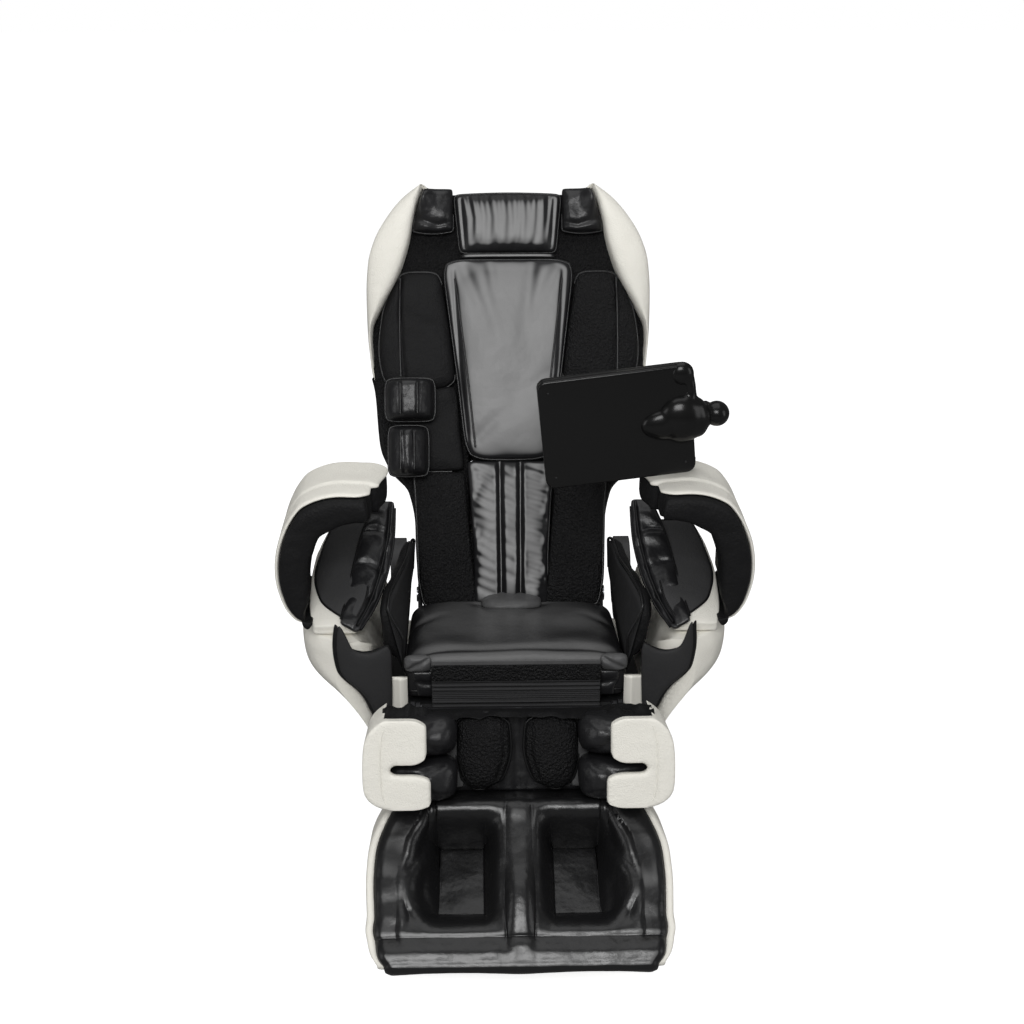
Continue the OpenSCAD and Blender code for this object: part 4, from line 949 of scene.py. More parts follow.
for side in (-1, 1):
    label = "right" if side > 0 else "left"
    rows, cols = 60, 40
    verts, faces = [], []
    for j in range(rows + 1):
        y = -260 + 620 * (0.5 - 0.5 * math.cos(math.pi * j / rows))
        low, high = cover_low(y), cover_high(y)
        for i in range(cols + 1):
            t = 0.5 - 0.5 * math.cos(math.pi * i / cols)
            z = low + (high - low) * t
            rim = min(1.0, 16 * min(t, 1 - t) * (high - low) / 400) ** 0.5
            width = soft_min(soft_min(cover_by_z(z), cover_by_y(y)),
                             max(3.0, undercut(y, z))) * (0.5 + 0.5 * rim if t < 0.5 else 0.88 + 0.12 * rim)
            verts.append(Vector((side * (255.6 + max(4.0, width)) * MM, y * MM, z * MM)))
    m = cols + 1
    for j in range(rows):
        for i in range(cols):
            a = j * m + i
            faces.append((a, a + 1, a + m + 1, a + m))
    ring = ([(i, 0) for i in range(cols)] + [(cols, j) for j in range(rows)]
            + [(i, rows) for i in range(cols, 0, -1)] + [(0, j) for j in range(rows, 0, -1)])
    top = [j * m + i for i, j in ring]
    base = len(verts)
    verts += [Vector((side * 255.6 * MM, verts[k].y, verts[k].z)) for k in top]
    for k in range(len(ring)):
        k2 = (k + 1) % len(ring)
        faces.append((top[k], top[k2], base + k2, base + k))
    faces.append(tuple(base + k for k in range(len(ring))))
    cover = mesh_piece("side_cover_soft_" + label, verts, faces, "ivory_leather", "chassis")
    rounder(cover)
    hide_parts("side_cover_" + label)
print("covers done")

# %% [markdown]
# A black padded panel closes the front of each cover. It is cut to a curve:
# scooped at the top where the forearm comes in, full at the cover's belly, and
# drawn in towards the foot. A darker border shows on its outer edge.

# %% Front panels
panel_out = through([(340, 258), (364, 266), (385, 276), (407, 286), (431, 304), (457, 337), (488, 343),
                     (524, 338), (560, 328)])
panel_in = through([(340, 240), (367, 239), (497, 234), (532, 246), (560, 260)])
for side in (-1, 1):
    label = "right" if side > 0 else "left"
    for tag, shrink, plane, finish, deep in (("border", 0, -259, "matte_leather", 9),
                                             ("face", 8, -266.5, "grey_leather", 5)):
        rows, cols = 30, 14
        verts, faces = [], []
        for j in range(rows + 1):
            z = 342 + (176) * j / rows
            for i in range(cols + 1):
                u = i / cols
                xi, xo = panel_in(z) + 1, panel_out(z) - shrink
                x = xi + (xo - xi) * u
                scoop = 16 * math.sin(math.pi * min(1, max(0,
                                                           (u - 0.02) / 0.86))) * max(0, j / rows - 0.5) * 2
                rise = 46 * ease((u - 0.74) / 0.26) * max(0, j / rows - 0.55) / 0.45
                puff = deep * math.sqrt(max(0, (1 - abs(2 * u - 1) ** 4)
                                            * (1 - abs(2 * j / rows - 1) ** 6)))
                verts.append(Vector((side * x * MM, (plane - puff) * MM, (z - scoop + rise) * MM)))
        m = cols + 1
        faces = [(j * m + i, j * m + i + 1, (j + 1) * m + i + 1, (j + 1) * m + i) for j in range(rows)
                 for i in range(cols)]
        panel = mesh_piece(f"front_panel_{tag}_{label}", verts, faces, finish, "chassis")
        back = panel.modifiers.new("pad", "SOLIDIFY")
        back.thickness = 0.006
        back.offset = 1 if side < 0 else -1
        rounder(panel)
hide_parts("side_front_panels")
print("panels done")

# %% [markdown]
# ## The arm units
# An arm unit is a hooked hood. Its ivory skin is a bent sheet that ends over
# the forearm in two stepped tongues: the rear one reaches further in. A thick
# black liner follows it inside. Both are swept along the same curve, so that
# the liner always touches the skin.

# %% Arm sweep
ARM_MID = (320.0, 650.0)
arm_reach = through([(-60, 122), (-51, 132), (-43, 136), (-34, 135), (-19, 131), (0, 129.5), (13, 131),
                     (26, 135), (37, 140), (52, 150.5), (62, 157.5), (82, 159.4), (97, 159.3), (108, 163.8),
                     (120, 166), (132, 160)])


def arm_spot(a, inset, y):
    """A point of the arm's curve: the rear of the hood sinks a little."""
    reach, sink = arm_reach(a) - inset, 12 * ease((y + 232) / 201)
    a = math.radians(a)
    return ARM_MID[0] + reach * math.cos(a), ARM_MID[1] + reach * math.sin(a) - sink * max(0.0, math.sin(a))


def tongue(y):
    """The angle at which the skin ends over the forearm."""
    front = 108.5 - 9 * max(0, (-206 - y) / 26) ** 2
    rear = 113 + 4.5 * ease((y + 160) / 110) - 3 * max(0, (y + 50) / 20) ** 2
    return front + (rear - front) * ease((y + 172) / 10)


liner_front = through([(-58, 1), (-52.7, 5), (-44.6, 30), (-39.8, 48), (-24.4, 60), (2.7, 65), (25, 67),
                       (46, 71), (72.5, 69), (85.6, 60), (100, 54), (120, 52)])


def liner_depth(a, y):
    """How thick the liner is: full at the shoulder of the hook, drawn to a point at its lower end."""
    return liner_front(a) - 16 * ease((30 - a) / 40) * ease((y + 220) / 160)


def upright(a, top, inset_out, inset_in):
    """The liner's inner face runs on a little, so that it ends upright under the skin's edge."""
    out, deep = arm_reach(top) - inset_out, arm_reach(top) - inset_in
    end = math.degrees(math.acos(max(-1.0, min(1.0, out * math.cos(math.radians(top)) / deep))))
    return a + (end - top) * ease((a - 62) / (top - 62))


def swept(name, side, y0, y1, a0, a1, inset0, inset1, finish, n=(30, 44), round_ends=6.0, puff=0.0,
          step=None):
    """A thick band along the arm's curve from angle a0(y) to a1, closed all round."""
    ny, na = n
    ring = []
    for j in range(ny + 1):
        t = j / ny
        y = y0 + (y1 - y0) * t
        pull = round_ends * max(0.0, 1 - min(t, 1 - t) * ny / 2.0)
        outer, inner = [], []
        top = a0(y)
        for i in range(na + 1):
            a = a1 + (top - a1) * i / na
            edge = 1 - min(1.0, min(i, na - i) / 2.0)
            swell = puff * math.sin(math.pi * t) * math.sin(math.pi * i / na)
            lift = (step(y, a) if step else 0.0)
            deep = inset1(a, y) if callable(inset1) else inset1
            outer.append((arm_spot(a, inset0 + pull + edge * 1.5 - lift, y), y))
            inner.append((arm_spot(upright(a, top, inset0, deep), deep - pull - edge * 1.5 + swell - lift,
                                   y), y))
        ring.append(outer + inner[::-1])
    verts = [Vector((side * p[0] * MM, y * MM, p[1] * MM)) for row in ring for p, y in row]
    m = len(ring[0])
    faces = [(j * m + i, j * m + (i + 1) % m, (j + 1) * m + (i + 1) % m, (j + 1) * m + i)
             for j in range(ny) for i in range(m)]
    half = m // 2
    for j in (0, ny):
        faces += [(j * m + i, j * m + i + 1, j * m + m - 2 - i, j * m + m - 1 - i) for i in range(half - 1)]
    piece = mesh_piece(name, verts, faces, finish, "chassis")
    rounder(piece)
    return piece


# %% Arm hoods and liners
def crease_step(y, a):
    return 4.0 * ease((y + 172) / 14) * ease((a - 20) / 60)


for side in (-1, 1):
    label = "right" if side > 0 else "left"
    hood = swept("arm_hood_" + label, side, -232, -31, tongue, -52, 0, 8, "ivory_leather", n=(60, 60),
                 round_ends=2.5, step=crease_step)
    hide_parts("arm_shell_" + label)
    liner = swept("arm_liner_soft_" + label, side, -246, -35, lambda y: tongue(max(y, -218)) + 1, -58, 8.5,
                  liner_depth, "matte_leather", n=(44, 60), round_ends=7, puff=2, step=crease_step)
    declare(liner, 0.8, "arm_liner_" + label)
print("arm units done")

# %% [markdown]
# The forearm rests on a matte grey pad that lies in an ivory tray and rises
# towards the elbow. A black puffed strip guards its inner side: three creases
# part it into cushions, and piping runs along both of its edges.

# %% Forearm pads


def band(side, outer, inner, floor=None):
    """Places a pad on a band between two edges (x, y, z), x 0-100 across and z 0-400 along."""
    keys = [k / (len(outer) - 1) for k in range(len(outer))]
    curves = [[through([(t, p[i]) for t, p in zip(keys, edge)]) for i in range(3)]
              for edge in (outer, inner)]

    def spot(x, z):
        a, b = [Vector([c(z / 400) for c in edge]) for edge in curves]
        return a.lerp(b, x / 100)

    def place(x, h, z):
        p = spot(x, z)
        across, along = spot(x + 2, z) - spot(x - 2, z), spot(x, min(z + 8, 400)) - spot(x, max(z - 8, 0))
        out = across.cross(along).normalized()
        out = out if out.z - out.y > 0 else -out
        q = Vector((p.x, p.y, floor + h)) if floor and h < 2 else p + out * (h - (36 if floor else 0))
        return Vector((side * q.x, q.y, q.z)) * MM
    return place


def swept_wall(place, x, deep, n=24):
    """A closed pad under a band's inner edge, deep mm down and 14 mm thick."""
    verts = []
    for k in range(n + 1):
        z = 6 + 388 * k / n
        for dx, h in ((x, 4), (x - 22, 4), (x - 22, 2 - deep), (x - 6, -deep)):
            verts.append(place(dx, h * math.sin(math.pi * min(1, max(0.12, k / n * 4, 0)) / 2) if h < 0
                               else h, z))
    faces = [(j * 4 + i, j * 4 + (i + 1) % 4, j * 4 + 4 + (i + 1) % 4, j * 4 + 4 + i) for j in range(n)
             for i in range(4)]
    faces += [(3, 2, 1, 0), tuple(4 * n + i for i in range(4))]
    return verts, faces


for side in (-1, 1):
    label = "right" if side > 0 else "left"
    place = band(side, [(320, -231, 558), (371, -180, 578), (385, -115, 600), (376, -55, 626),
                        (354, -5, 664)],
                 [(302, -231, 560), (284, -180, 586), (280, -115, 612), (280, -55, 638), (278, -5, 664)],
                 floor=560)
    tray_place = band(side, [(384, -237, 548), (393, -180, 574), (394, -115, 597), (385, -55, 623),
                             (360, -5, 660)],
                      [(298, -237, 550), (282, -180, 580), (278, -115, 606), (278, -55, 632),
                       (276, -5, 660)], floor=522)
    tray = stuffed("arm_tray_" + label, "chassis", tray_place, lambda z: 0, lambda z: 100,
                   0, 400, 32, 28, "ivory_leather", corner=12, n=(20, 36), power=4)
    rest = stuffed("forearm_rest_" + label, "chassis", place, lambda z: 0, lambda z: 100,
                   0, 400, 36, 30, "pad_leather", corner=14, n=(24, 44), power=3,
                   relief=unevenness(1.0, 60, side))
    declare(rest, 0.9, "forearm_pad_" + label, slot=GREY)
    rim_piping(rest, place, "chassis", lift=1.0, radius=2.2)
    place = band(side, [(334, -238, 548), (322, -170, 572), (312, -105, 604), (296, -45, 654),
                        (272, 6, 696)],
                 [(300, -241, 528), (268, -176, 555), (248, -110, 590), (236, -46, 642), (233, 6, 698)])
    folds = creased([([(-5, z), (40, z + 8), (80, z)], 9, 5, 0) for z in (110, 205, 300)]
                    + [([(78, 4), (78, 396)], 5, 5, 0)])
    guard = stuffed("arm_guard_" + label, "chassis", place, lambda z: 0, lambda z: 100, 0, 400, 19, 9,
                    "shiny_leather", corner=16, n=(30, 72), power=3.2,
                    relief=together(folds, unevenness(5, 34, 3 + side, (0.6, 1.0))))
    for tag, x, h in (("inner", 101, 8), ("outer", -1, 9), ("border", 80, 15)):
        piping(f"arm_guard_piping_{tag}_{label}", "chassis", [place(x, h, z) for z in range(12, 393, 16)],
               2.6)
    side_face = swept_wall(place, 96, 26)
    wall_piece = mesh_piece("arm_guard_side_" + label, *side_face, "matte_leather", "chassis")
    rounder(wall_piece)
print("forearm pads done")

# %% [markdown]
# ## The calf unit
# Two ivory shells hold the calves from the sides. Each ends in two fingers
# with a slot between them, and air cells push out behind the fingers. The
# shells are soft mouldings, so the frame's solids are copied and eased.

# %% Calf shells


calf_height = through([(-141, -137), (-100, -104), (-68, -76), (-48, -53), (-16, -12), (15, 27)])


def calf_form(co):
    """Opens the slot, rounds the fingers' ends and the outer side; the lower finger reaches further."""
    p = LEG.inverted() @ co / MM
    t, ax = abs(p.z + 63) / 78, abs(p.x)
    grown = ax + ease((ax - 205) / 45) * (9 - 20 * t ** 3)
    z = calf_height(p.z)
    middle = -13 if z > -64 else -106
    z = middle + (z - middle) * (1 - 0.30 * min(1, max(0, (196 - ax) / 30)) ** 2.2)
    if z < -64:
        grown -= 7 * ease((210 - ax) / 44)
    p.x, p.z = math.copysign(grown, p.x), z
    return LEG @ (p * MM)


for side in (-1, 1):
    label = "right" if side > 0 else "left"
    softened("calf_shell_" + label, "calf_side_" + label, "ivory_leather", "legrest", 4, 12, CREAM,
             calf_form)
    seam = []
    for z in range(-128, 20, 8):
        bow = 14 * ((z + 55) / 78) ** 4 - 2
        seam.append(LEG @ (Vector((side * (246 - bow), -172.6 + 3 * abs((z + 55) / 78) ** 6, z)) * MM))
    piping("calf_seam_" + label, "legrest", seam, 1.3, finish="ivory_leather", slot=CREAM)


def on_leg(side, plane):
    return lambda x, h, z: LEG @ (Vector((side * x, plane - h, z)) * MM)


calf_back = stuffed("calf_backing", "legrest", on_leg(1, -22), lambda z: -249, lambda z: 249, -141, 18, 22,
                    14, "shiny_leather", corner=10, n=(60, 26), power=8,
                    relief=together(creased([([(0, 12), (0, -132)], 7, 7, 0),
                                             ([(-20, 12), (-22, -132)], 3, 4, 0),
                                             ([(20, 12), (22, -132)], 3, 4, 0)]), unevenness(3, 60, 0.4)))
declare(calf_back, 0.7, "calf_panel")

# %% [markdown]
# Between the shells sit two round calf pads of pierced leather, edged with
# piping, and beside each pad an upper and a lower air cell.

# %% Calf pads and air cells
for side in (-1, 1):
    label = "right" if side > 0 else "left"
    place = on_leg(side, -45.5)
    disc = stuffed("calf_pad_" + label, "legrest", place,
                   through([(-130, 54), (-112, 28), (-50, 13), (-4, 16), (12, 32)]),
                   through([(-130, 88), (-112, 104), (-60, 113), (-4, 112), (12, 102)]),
                   -130, 12, 42, 16, "pierced_leather", corner=16, n=(28, 30), power=2.8,
                   relief=together(unevenness(2.5, 40, side),
                                   creased([([(26, -4), (24, -60), (38, -106)], 4, 6, 0)])))
    rim_piping(disc, place, "legrest", radius=3.2)
    gusset = stuffed("calf_gusset_" + label, "legrest", place, lambda z: 100,
                     through([(-128, 138), (10, 128)]), -128, 10, 16, 12,
                     "pale_leather", corner=6, n=(12, 20), relief=unevenness(3, 30, side))
    for tag, z0, z1, reach in (("upper", -54, 20, 4), ("lower", -138, -58, 8)):
        cell = stuffed(f"air_cell_{tag}_{label}", "legrest", on_leg(side, -60),
                       through([(z0, 112), (z1, 110)]), through([(z0, 246), (z1, 246)]), z0, z1, 86,
                       30 + reach, "shiny_leather", corner=26, n=(34, 24), power=2.6,
                       relief=together(unevenness(6, 34, z0 * side), creased([
                           ([(132, z0 + 8), (170, z0 + 30), (210, z0 + 34)], 7, 6, 0.4),
                           ([(140, z1 - 8), (180, z1 - 26), (230, z1 - 22)], 6, 5, 0.5)])))
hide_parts("calf_pads")
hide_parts("calf_airbags")
print("calf unit done")

# %% [markdown]
# A ragged leather flap lies over the top of the calf unit and hides the gap to
# the apron. It is a thin sheet with a wavy hem.

# %% Calf flap
HALF_FLAP = 248
verts, faces = [], []
cols, rows = 80, 10
for j in range(rows + 1):
    t = j / rows
    for i in range(cols + 1):
        x = -HALF_FLAP + 2 * HALF_FLAP * i / cols
        wave = noise.noise(Vector((x / 34, 2.0 * t, 0.7)))
        hem = 22 * noise.noise(Vector((x / 22, 0.2, 3.1))) + 60 * abs(x / HALF_FLAP) ** 2
        y = -40 - (44 + hem) * t
        fade = math.sin(math.pi * min(1, t * 1.1)) ** 0.5
        lump = 16 * ease((abs(x) - 140) / 50) * (0.7 + noise.noise(Vector((x / 16, t * 3, 4.0)))) * fade
        verts.append(LEG @ (Vector((x, y, 18 + 7 * wave * t - 6 * t * t + lump)) * MM))
m = cols + 1
faces = [(j * m + i, j * m + i + 1, (j + 1) * m + i + 1, (j + 1) * m + i) for j in range(rows)
         for i in range(cols)]
flap = mesh_piece("calf_flap", verts, faces, "matte_leather", "legrest")
skin = flap.modifiers.new("leather", "SOLIDIFY")
skin.thickness = 0.0016
rounder(flap)

# %% [markdown]
# ## The foot unit
# One large cover of shiny leather is drawn over the foot unit and sinks into
# two wells. It is a height field over the sloping rim: how deep the leather
# lies at each place. The soles are flat, the outer walls are pleated air
# cells, the heel is a roll, and a ridge runs between the wells.

# %% Foot wells
RIM_TOP, RIM_TILT, RIM_LEN = Vector((0, -96, -148)), math.radians(37.6 + 15), 298
RIM_DIR = Vector((0, math.cos(RIM_TILT), math.sin(RIM_TILT)))
RIM_IN = Vector((0, math.sin(RIM_TILT), -math.cos(RIM_TILT)))


def roll(q):
    """How deep the leather lies on a stuffed roll that rises from the sole (q = 0) to the rim (q = 1)."""
    return 1 - max(0.0, 1 - (1 - q) ** 2) ** 1.15


def well_depth(x, s):
    ax = abs(x)
    sole_in = 58 + 6 * ease((120 - s) / 90)
    sole_out = 149 + 8 * ease((120 - s) / 90)
    depth = 40 + (s - 60) * 58 / 179
    outer_edge = 216 - 9 * ease((s - 150) / 60) - 20 * ease((s - 220) / 70)
    q_out = min(1.0, max(0.0, (ax - sole_out) / (outer_edge - sole_out)))
    q_in = min(1.0, max(0.0, (sole_in - ax) / (sole_in - 24)))
    q_front = min(1.0, max(0.0, (100 - s) / 50))
    q_heel = min(1.0, max(0.0, (s - 246) / 48))
    shape = roll(q_out) * roll(q_in) * roll(q_front) * roll(q_heel)
    d = depth * shape
    if 0 < q_out < 1:
        pleat = math.sin(q_out * 10 + 2.6 * math.sin(s / 30) + 1.2
                         * noise.noise(Vector((x / 20, s / 40, 1))))
        d += 4.6 * pleat * math.sin(math.pi * q_out) * ease((s - 60) / 40)
    for q in (q_out, q_in, q_front, q_heel):
        d += 3.0 * math.exp(-((q - 1.0) / 0.05) ** 2) * ease((s - 30) / 20)
    d -= (4 + 15 * math.exp(-((s - 112) / 58) ** 2)) * math.exp(-(x / 21) ** 4) * ease((s + 20) / 60)
    d -= 5.5 * math.exp(-((s - 18) / 14) ** 2) * (1 - math.exp(-(x / 26) ** 2))
    d += 2.0 * noise.noise(Vector((x / 46, s / 40, 6.2)))
    return d


def foot_path(s, x):
    """Base line of the cover: along the rim, then down over the toe edge."""
    if s > RIM_LEN:
        t = ease((s - RIM_LEN) / 16)
        return RIM_TOP + Vector((0, s - RIM_LEN, 0)), (-RIM_IN).lerp(Vector((0, 0, 1)), t).normalized()
    if s >= 0:
        return RIM_TOP - (RIM_LEN - s) * RIM_DIR, -RIM_IN
    t = min(1.0, -s / 44)
    hem = 5 * math.cos(x / 256 * 2 * math.pi) - 5
    a = RIM_TOP - RIM_LEN * RIM_DIR
    b, c = a - 6 * RIM_DIR, a + Vector((0, 0, -9))
    e = a + Vector((0, 12, -14 - hem))
    p = (1 - t) ** 3 * a + 3 * (1 - t) ** 2 * t * b + 3 * (1 - t) * t * t * c + t ** 3 * e
    return p, (-RIM_IN).lerp(Vector((0, -0.92, -0.38)), ease(t)).normalized()


foot_bow = through([(0.0, -36), (0.05, -27), (0.12, -17), (0.2, -7), (0.28, 0), (0.35, 3), (0.5, 5),
                    (0.65, 3), (0.72, 2), (0.79, 4), (0.866, 0), (0.936, -5), (1.0, -17)])


def foot_form(co):
    """The side walls bow out in the middle and draw in at the heel and the toes."""
    p = LEG.inverted() @ co / MM
    bow = foot_bow(min(1.0, max(0.0, (p.z + 148) / -237)))
    p.x += (1 if p.x > 0 else -1) * bow * ease((abs(p.x) - 120) / 130)
    return LEG @ (p * MM)


verts, faces = [], []
HALF_COVER, COVER_COLUMNS = 252, 144
xs = [-HALF_COVER + 2 * HALF_COVER * i / COVER_COLUMNS for i in range(COVER_COLUMNS + 1)]
ss = [-44 + 5 * k for k in range(9)] + [1 + 3.7 * k for k in range(81)] + [304 + 9.4 * k for k in range(8)]
for s in ss:
    for x in xs:
        base, out = foot_path(s, x)
        side_roll = 9 * ease((abs(x) - 240) / 15.5) ** 2
        d = (well_depth(x, s) if s > 4 else well_depth(x, 4) * ease((s + 44) / 48)) + side_roll
        p = base - out * (d if s < 290 else d * 0.4)
        p.y = min(p.y, -30 if s < 290 else -26)
        verts.append(foot_form(LEG @ ((p + Vector((x, 0, 0))) * MM)))
m = len(xs)
faces = [(j * m + i, j * m + i + 1, (j + 1) * m + i + 1, (j + 1) * m + i)
         for j in range(len(ss) - 1) for i in range(m - 1)]
# The finish paints a pale highlight where the cover faces forward and up, on the ridge and the toe lip.
foot = mesh_piece("foot_cover", verts, faces, "foot_leather_painted_sheen", "foot")
skin = foot.modifiers.new("foam", "SOLIDIFY")
skin.thickness = 0.008
skin.offset = 1
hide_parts("foot_upholstery")
softened("foot_shell", "foot_pan", "ivory_leather", "foot", 5, 8, CREAM, foot_form)
print("foot cover faces:", len(foot.data.polygons))

# %% [markdown]
# ## The tablet
# The case is thin gloss plastic with a swollen neck at the back that takes the
# ball joint, a bump for a camera at one corner, and small screws.

# %% Tablet


def rounded_ring(w, h, r, inset, n=6):
    ring = []
    for cx, cz, start in ((1, 1, 0), (-1, 1, 90), (-1, -1, 180), (1, -1, 270)):
        for k in range(n + 1):
            a = math.radians(start + 90 * k / n)
            ring.append((cx * (w / 2 - r) + (r - inset) * math.cos(a),
                         cz * (h / 2 - r) + (r - inset) * math.sin(a)))
    return ring


loops = [(7, -12), (3, -11.6), (0.8, -10), (0, -7), (0, -2), (2.4, -0.8), (2.4, 0.6), (0.4, 2), (0.4, 9),
         (2, 11.4), (5, 12)]
verts = []
for inset, y in loops:
    verts += [BALL @ (Vector((x - 185, y, z)) * MM) for x, z in rounded_ring(280, 214, 18, inset)]
m = 28
faces = [(j * m + i, j * m + (i + 1) % m, (j + 1) * m + (i + 1) % m, (j + 1) * m + i)
         for j in range(len(loops) - 1) for i in range(m)]
faces += [tuple(range(m)), tuple((len(loops) - 1) * m + i for i in range(m))]
case = mesh_piece("tablet_back", verts, faces, "gloss_black", "tablet")
edge = case.modifiers.new("edge", "BEVEL")
edge.width = 0.0008
edge.segments = 2
edge.limit_method = "ANGLE"
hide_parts("tablet_case")

# %% [markdown]
# The neck is one flowing form: a swelling on the back, a shoulder along the
# edge up to the corner bump, and a stub to the ball. Overlapping ellipsoids
# are melted into one skin by a voxel remesh and smoothed.

# %% Tablet neck


def ellipsoid(centre, radii, rows=14, cols=22):
    verts = []
    for j in range(rows + 1):
        for i in range(cols):
            a, b = math.pi * j / rows, 2 * math.pi * i / cols
            p = Vector((radii[0] * math.cos(a), radii[1] * math.sin(a) * math.cos(b),
                        radii[2] * math.sin(a) * math.sin(b)))
            verts.append(BALL @ ((p + Vector(centre)) * MM))
    faces = [(j * cols + i, j * cols + (i + 1) % cols, (j + 1) * cols + (i + 1) % cols, (j + 1) * cols + i)
             for j in range(rows) for i in range(cols)]
    return verts, faces


verts, faces = [], []
for centre, radii in (((-92, -9, -4), (52, 21, 32)), ((-66, -9, 2), (44, 28, 48)),
                      ((-38, -5, 0), (24, 24, 40)),
                      ((-26, -3, 0), (20, 19, 24)), ((-46, -4, 50), (11, 12, 50)),
                      ((-60, -4, 88), (23, 15, 24))):
    some, more = ellipsoid(centre, radii)
    faces += [tuple(i + len(verts) for i in f) for f in more]
    verts += some
neck = mesh_piece("tablet_neck", verts, faces, "gloss_black", "tablet")
bpy.context.view_layer.objects.active = neck
melt = neck.modifiers.new("melt", "REMESH")
melt.mode = "VOXEL"
melt.voxel_size = 0.0022
calm = neck.modifiers.new("calm", "SMOOTH")
calm.iterations = 40
for mod in ("melt", "calm"):
    bpy.ops.object.modifier_apply(modifier=mod)
neck.data.polygons.foreach_set("use_smooth", [True] * len(neck.data.polygons))
verts, faces = ellipsoid((0, 0, 0), (23.5, 23.5, 23.5), 20, 30)
ball = mesh_piece("ball_cover", verts, faces, "gloss_black", "ball_stud")
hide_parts("ball_stud")
verts, faces = [], []
for x, z in ((-64, -84), (-306, -84), (-306, 84)):
    some, more = ellipsoid((x, -12, z), (2.2, 1.0, 2.2), 6, 10)
    faces += [tuple(i + len(verts) for i in f) for f in more]
    verts += some
screws = mesh_piece("case_screws", verts, faces, "black_plastic", "tablet")
print("tablet done")

# %% [markdown]
# ## Light and camera
# A large soft box near the viewer lights the chair from the front, as in a
# studio, and its reflection adds to the pale sheen that is painted into the
# colour of the forward-facing pads. A weaker light above models the tops, and
# two side lights draw the edges. The floor and the air behind are white, and
# the floor keeps the chair's shadow.

# %% Lights, floor and camera


def lamp(name, place, target, size, watts):
    data = bpy.data.lights.new(name, "AREA")
    data.shape = "RECTANGLE"
    data.size, data.size_y = size
    data.energy = watts
    piece = bpy.data.objects.new(name, data)
    piece.location = place
    piece.rotation_euler = (Vector(target) - Vector(place)).to_track_quat("-Z", "Y").to_euler()
    bpy.context.scene.collection.objects.link(piece)
    return piece


middle = Vector((0, 0.07, 0.65))
lamp("soft_box", (-0.3, -3.4, 2.9), middle, (2.0, 1.4), 92)
lamp("top_light", (0, 0.0, 3.4), middle, (2.5, 2.5), 26)
lamp("left_light", (-3.4, -1.6, 1.4), middle, (1.2, 2.2), 16)
lamp("right_light", (3.4, -1.6, 1.4), middle, (1.2, 2.2), 16)

world = bpy.data.worlds.new("studio")
bpy.context.scene.world = world
world.use_nodes = True
nodes, links = world.node_tree.nodes, world.node_tree.links
sky = nodes["Background"]
sky.inputs["Color"].default_value = (1, 1, 1, 1)
sky.inputs["Strength"].default_value = 0.26
seen = nodes.new("ShaderNodeBackground")
seen.inputs["Color"].default_value = (1, 1, 1, 1)
seen.inputs["Strength"].default_value = 1.0
dim = nodes.new("ShaderNodeBackground")
dim.inputs["Color"].default_value = (1, 1, 1, 1)
dim.inputs["Strength"].default_value = 0.12
rays = nodes.new("ShaderNodeLightPath")
calm_air, choose = nodes.new("ShaderNodeMixShader"), nodes.new("ShaderNodeMixShader")
links.new(rays.outputs["Is Glossy Ray"], calm_air.inputs["Fac"])
links.new(sky.outputs["Background"], calm_air.inputs[1])
links.new(dim.outputs["Background"], calm_air.inputs[2])
links.new(rays.outputs["Is Camera Ray"], choose.inputs["Fac"])
links.new(calm_air.outputs["Shader"], choose.inputs[1])
links.new(seen.outputs["Background"], choose.inputs[2])
links.new(choose.outputs["Shader"], nodes["World Output"].inputs["Surface"])

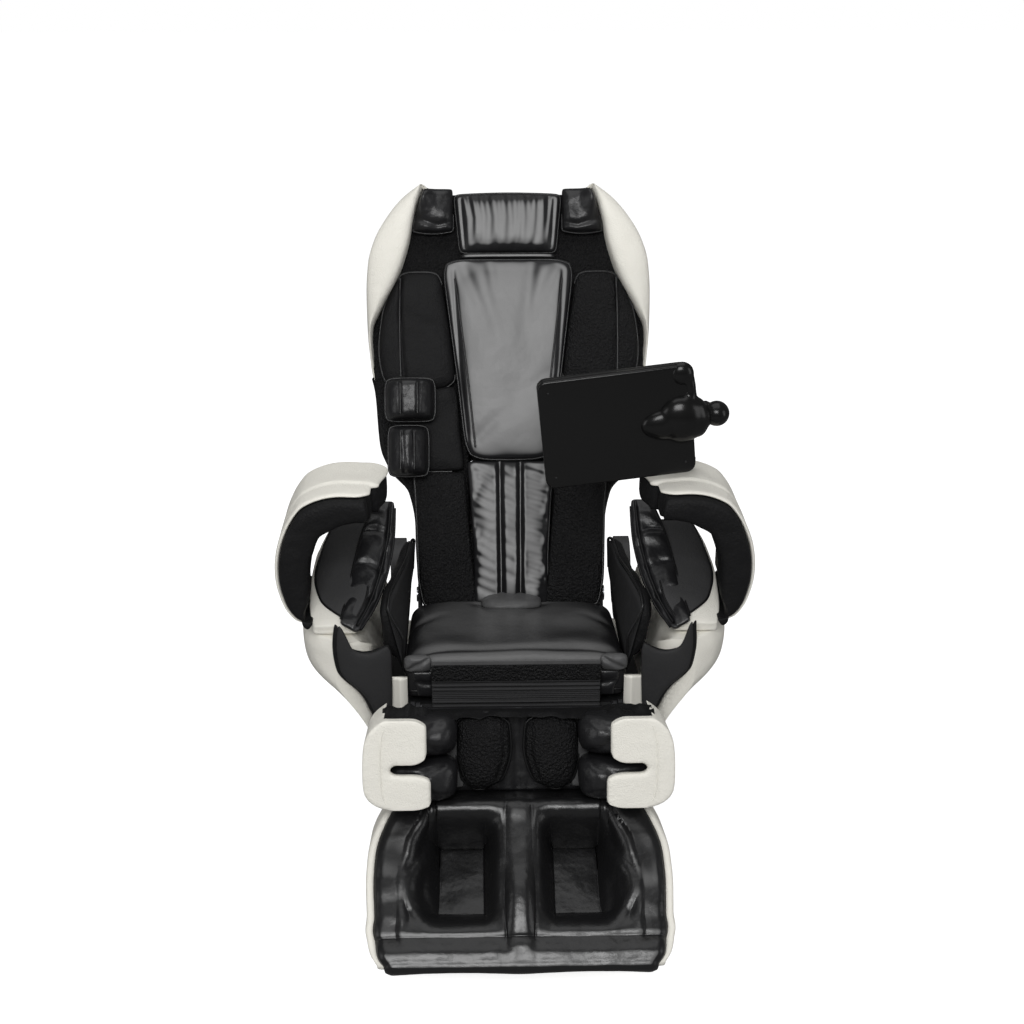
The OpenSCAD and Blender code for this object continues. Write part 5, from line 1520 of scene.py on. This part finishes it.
floor_mesh = bpy.data.meshes.new("floor")
floor_mesh.from_pydata([(-14, -14, 0), (14, -14, 0), (14, 14, 0), (-14, 14, 0)], [], [(0, 1, 2, 3)])
floor = bpy.data.objects.new("floor", floor_mesh)
bpy.context.scene.collection.objects.link(floor)
floor_mat = bpy.data.materials.new("white_floor")
floor_mat.use_nodes = True
floor_nodes, floor_links = floor_mat.node_tree.nodes, floor_mat.node_tree.links
paper = floor_nodes["Principled BSDF"]
paper.inputs["Base Color"].default_value = (0.9, 0.9, 0.9, 1)
paper.inputs["Roughness"].default_value = 0.9
glow = floor_nodes.new("ShaderNodeEmission")
glow.inputs["Strength"].default_value = 0.80
fibre = floor_nodes.new("ShaderNodeTexNoise")
fibre.inputs["Scale"].default_value = 40.0
tooth = floor_nodes.new("ShaderNodeBump")
tooth.inputs["Strength"].default_value = 0.03
floor_links.new(fibre.outputs["Fac"], tooth.inputs["Height"])
floor_links.new(tooth.outputs["Normal"], paper.inputs["Normal"])
both = floor_nodes.new("ShaderNodeAddShader")
floor_links.new(paper.outputs["BSDF"], both.inputs[0])
floor_links.new(glow.outputs["Emission"], both.inputs[1])
shade = floor_nodes.new("ShaderNodeBsdfDiffuse")
shade.inputs["Color"].default_value = (0.25, 0.25, 0.25, 1)
path = floor_nodes.new("ShaderNodeLightPath")
pick = floor_nodes.new("ShaderNodeMixShader")
floor_links.new(path.outputs["Is Camera Ray"], pick.inputs["Fac"])
floor_links.new(shade.outputs["BSDF"], pick.inputs[1])
floor_links.new(both.outputs["Shader"], pick.inputs[2])
floor_links.new(pick.outputs["Shader"], floor_nodes["Material Output"].inputs["Surface"])
floor_mesh.materials.append(floor_mat)

camera_data = bpy.data.cameras.new("camera")
camera_data.lens = 61.0
camera = bpy.data.objects.new("camera", camera_data)
turn, rise, far = math.radians(-1.3), math.radians(22), 3.519
target = Vector((0, 0.0697, 0.650))
camera.location = target + far * Vector((math.sin(turn) * math.cos(rise), -math.cos(turn) * math.cos(rise),
                                         math.sin(rise)))
camera.rotation_euler = (target - camera.location).to_track_quat("-Z", "Y").to_euler()
bpy.context.scene.collection.objects.link(camera)
bpy.context.scene.camera = camera
bpy.context.scene.view_settings.view_transform = "Standard"
print("camera at", [round(v, 3) for v in camera.location])

# %% [markdown]
# Last, the script removes the rim outlines that the pads kept for their piping.

# %% Finish
for name, piece in MADE.items():
    if "rim" in piece:
        del piece["rim"]
bpy.context.view_layer.update()
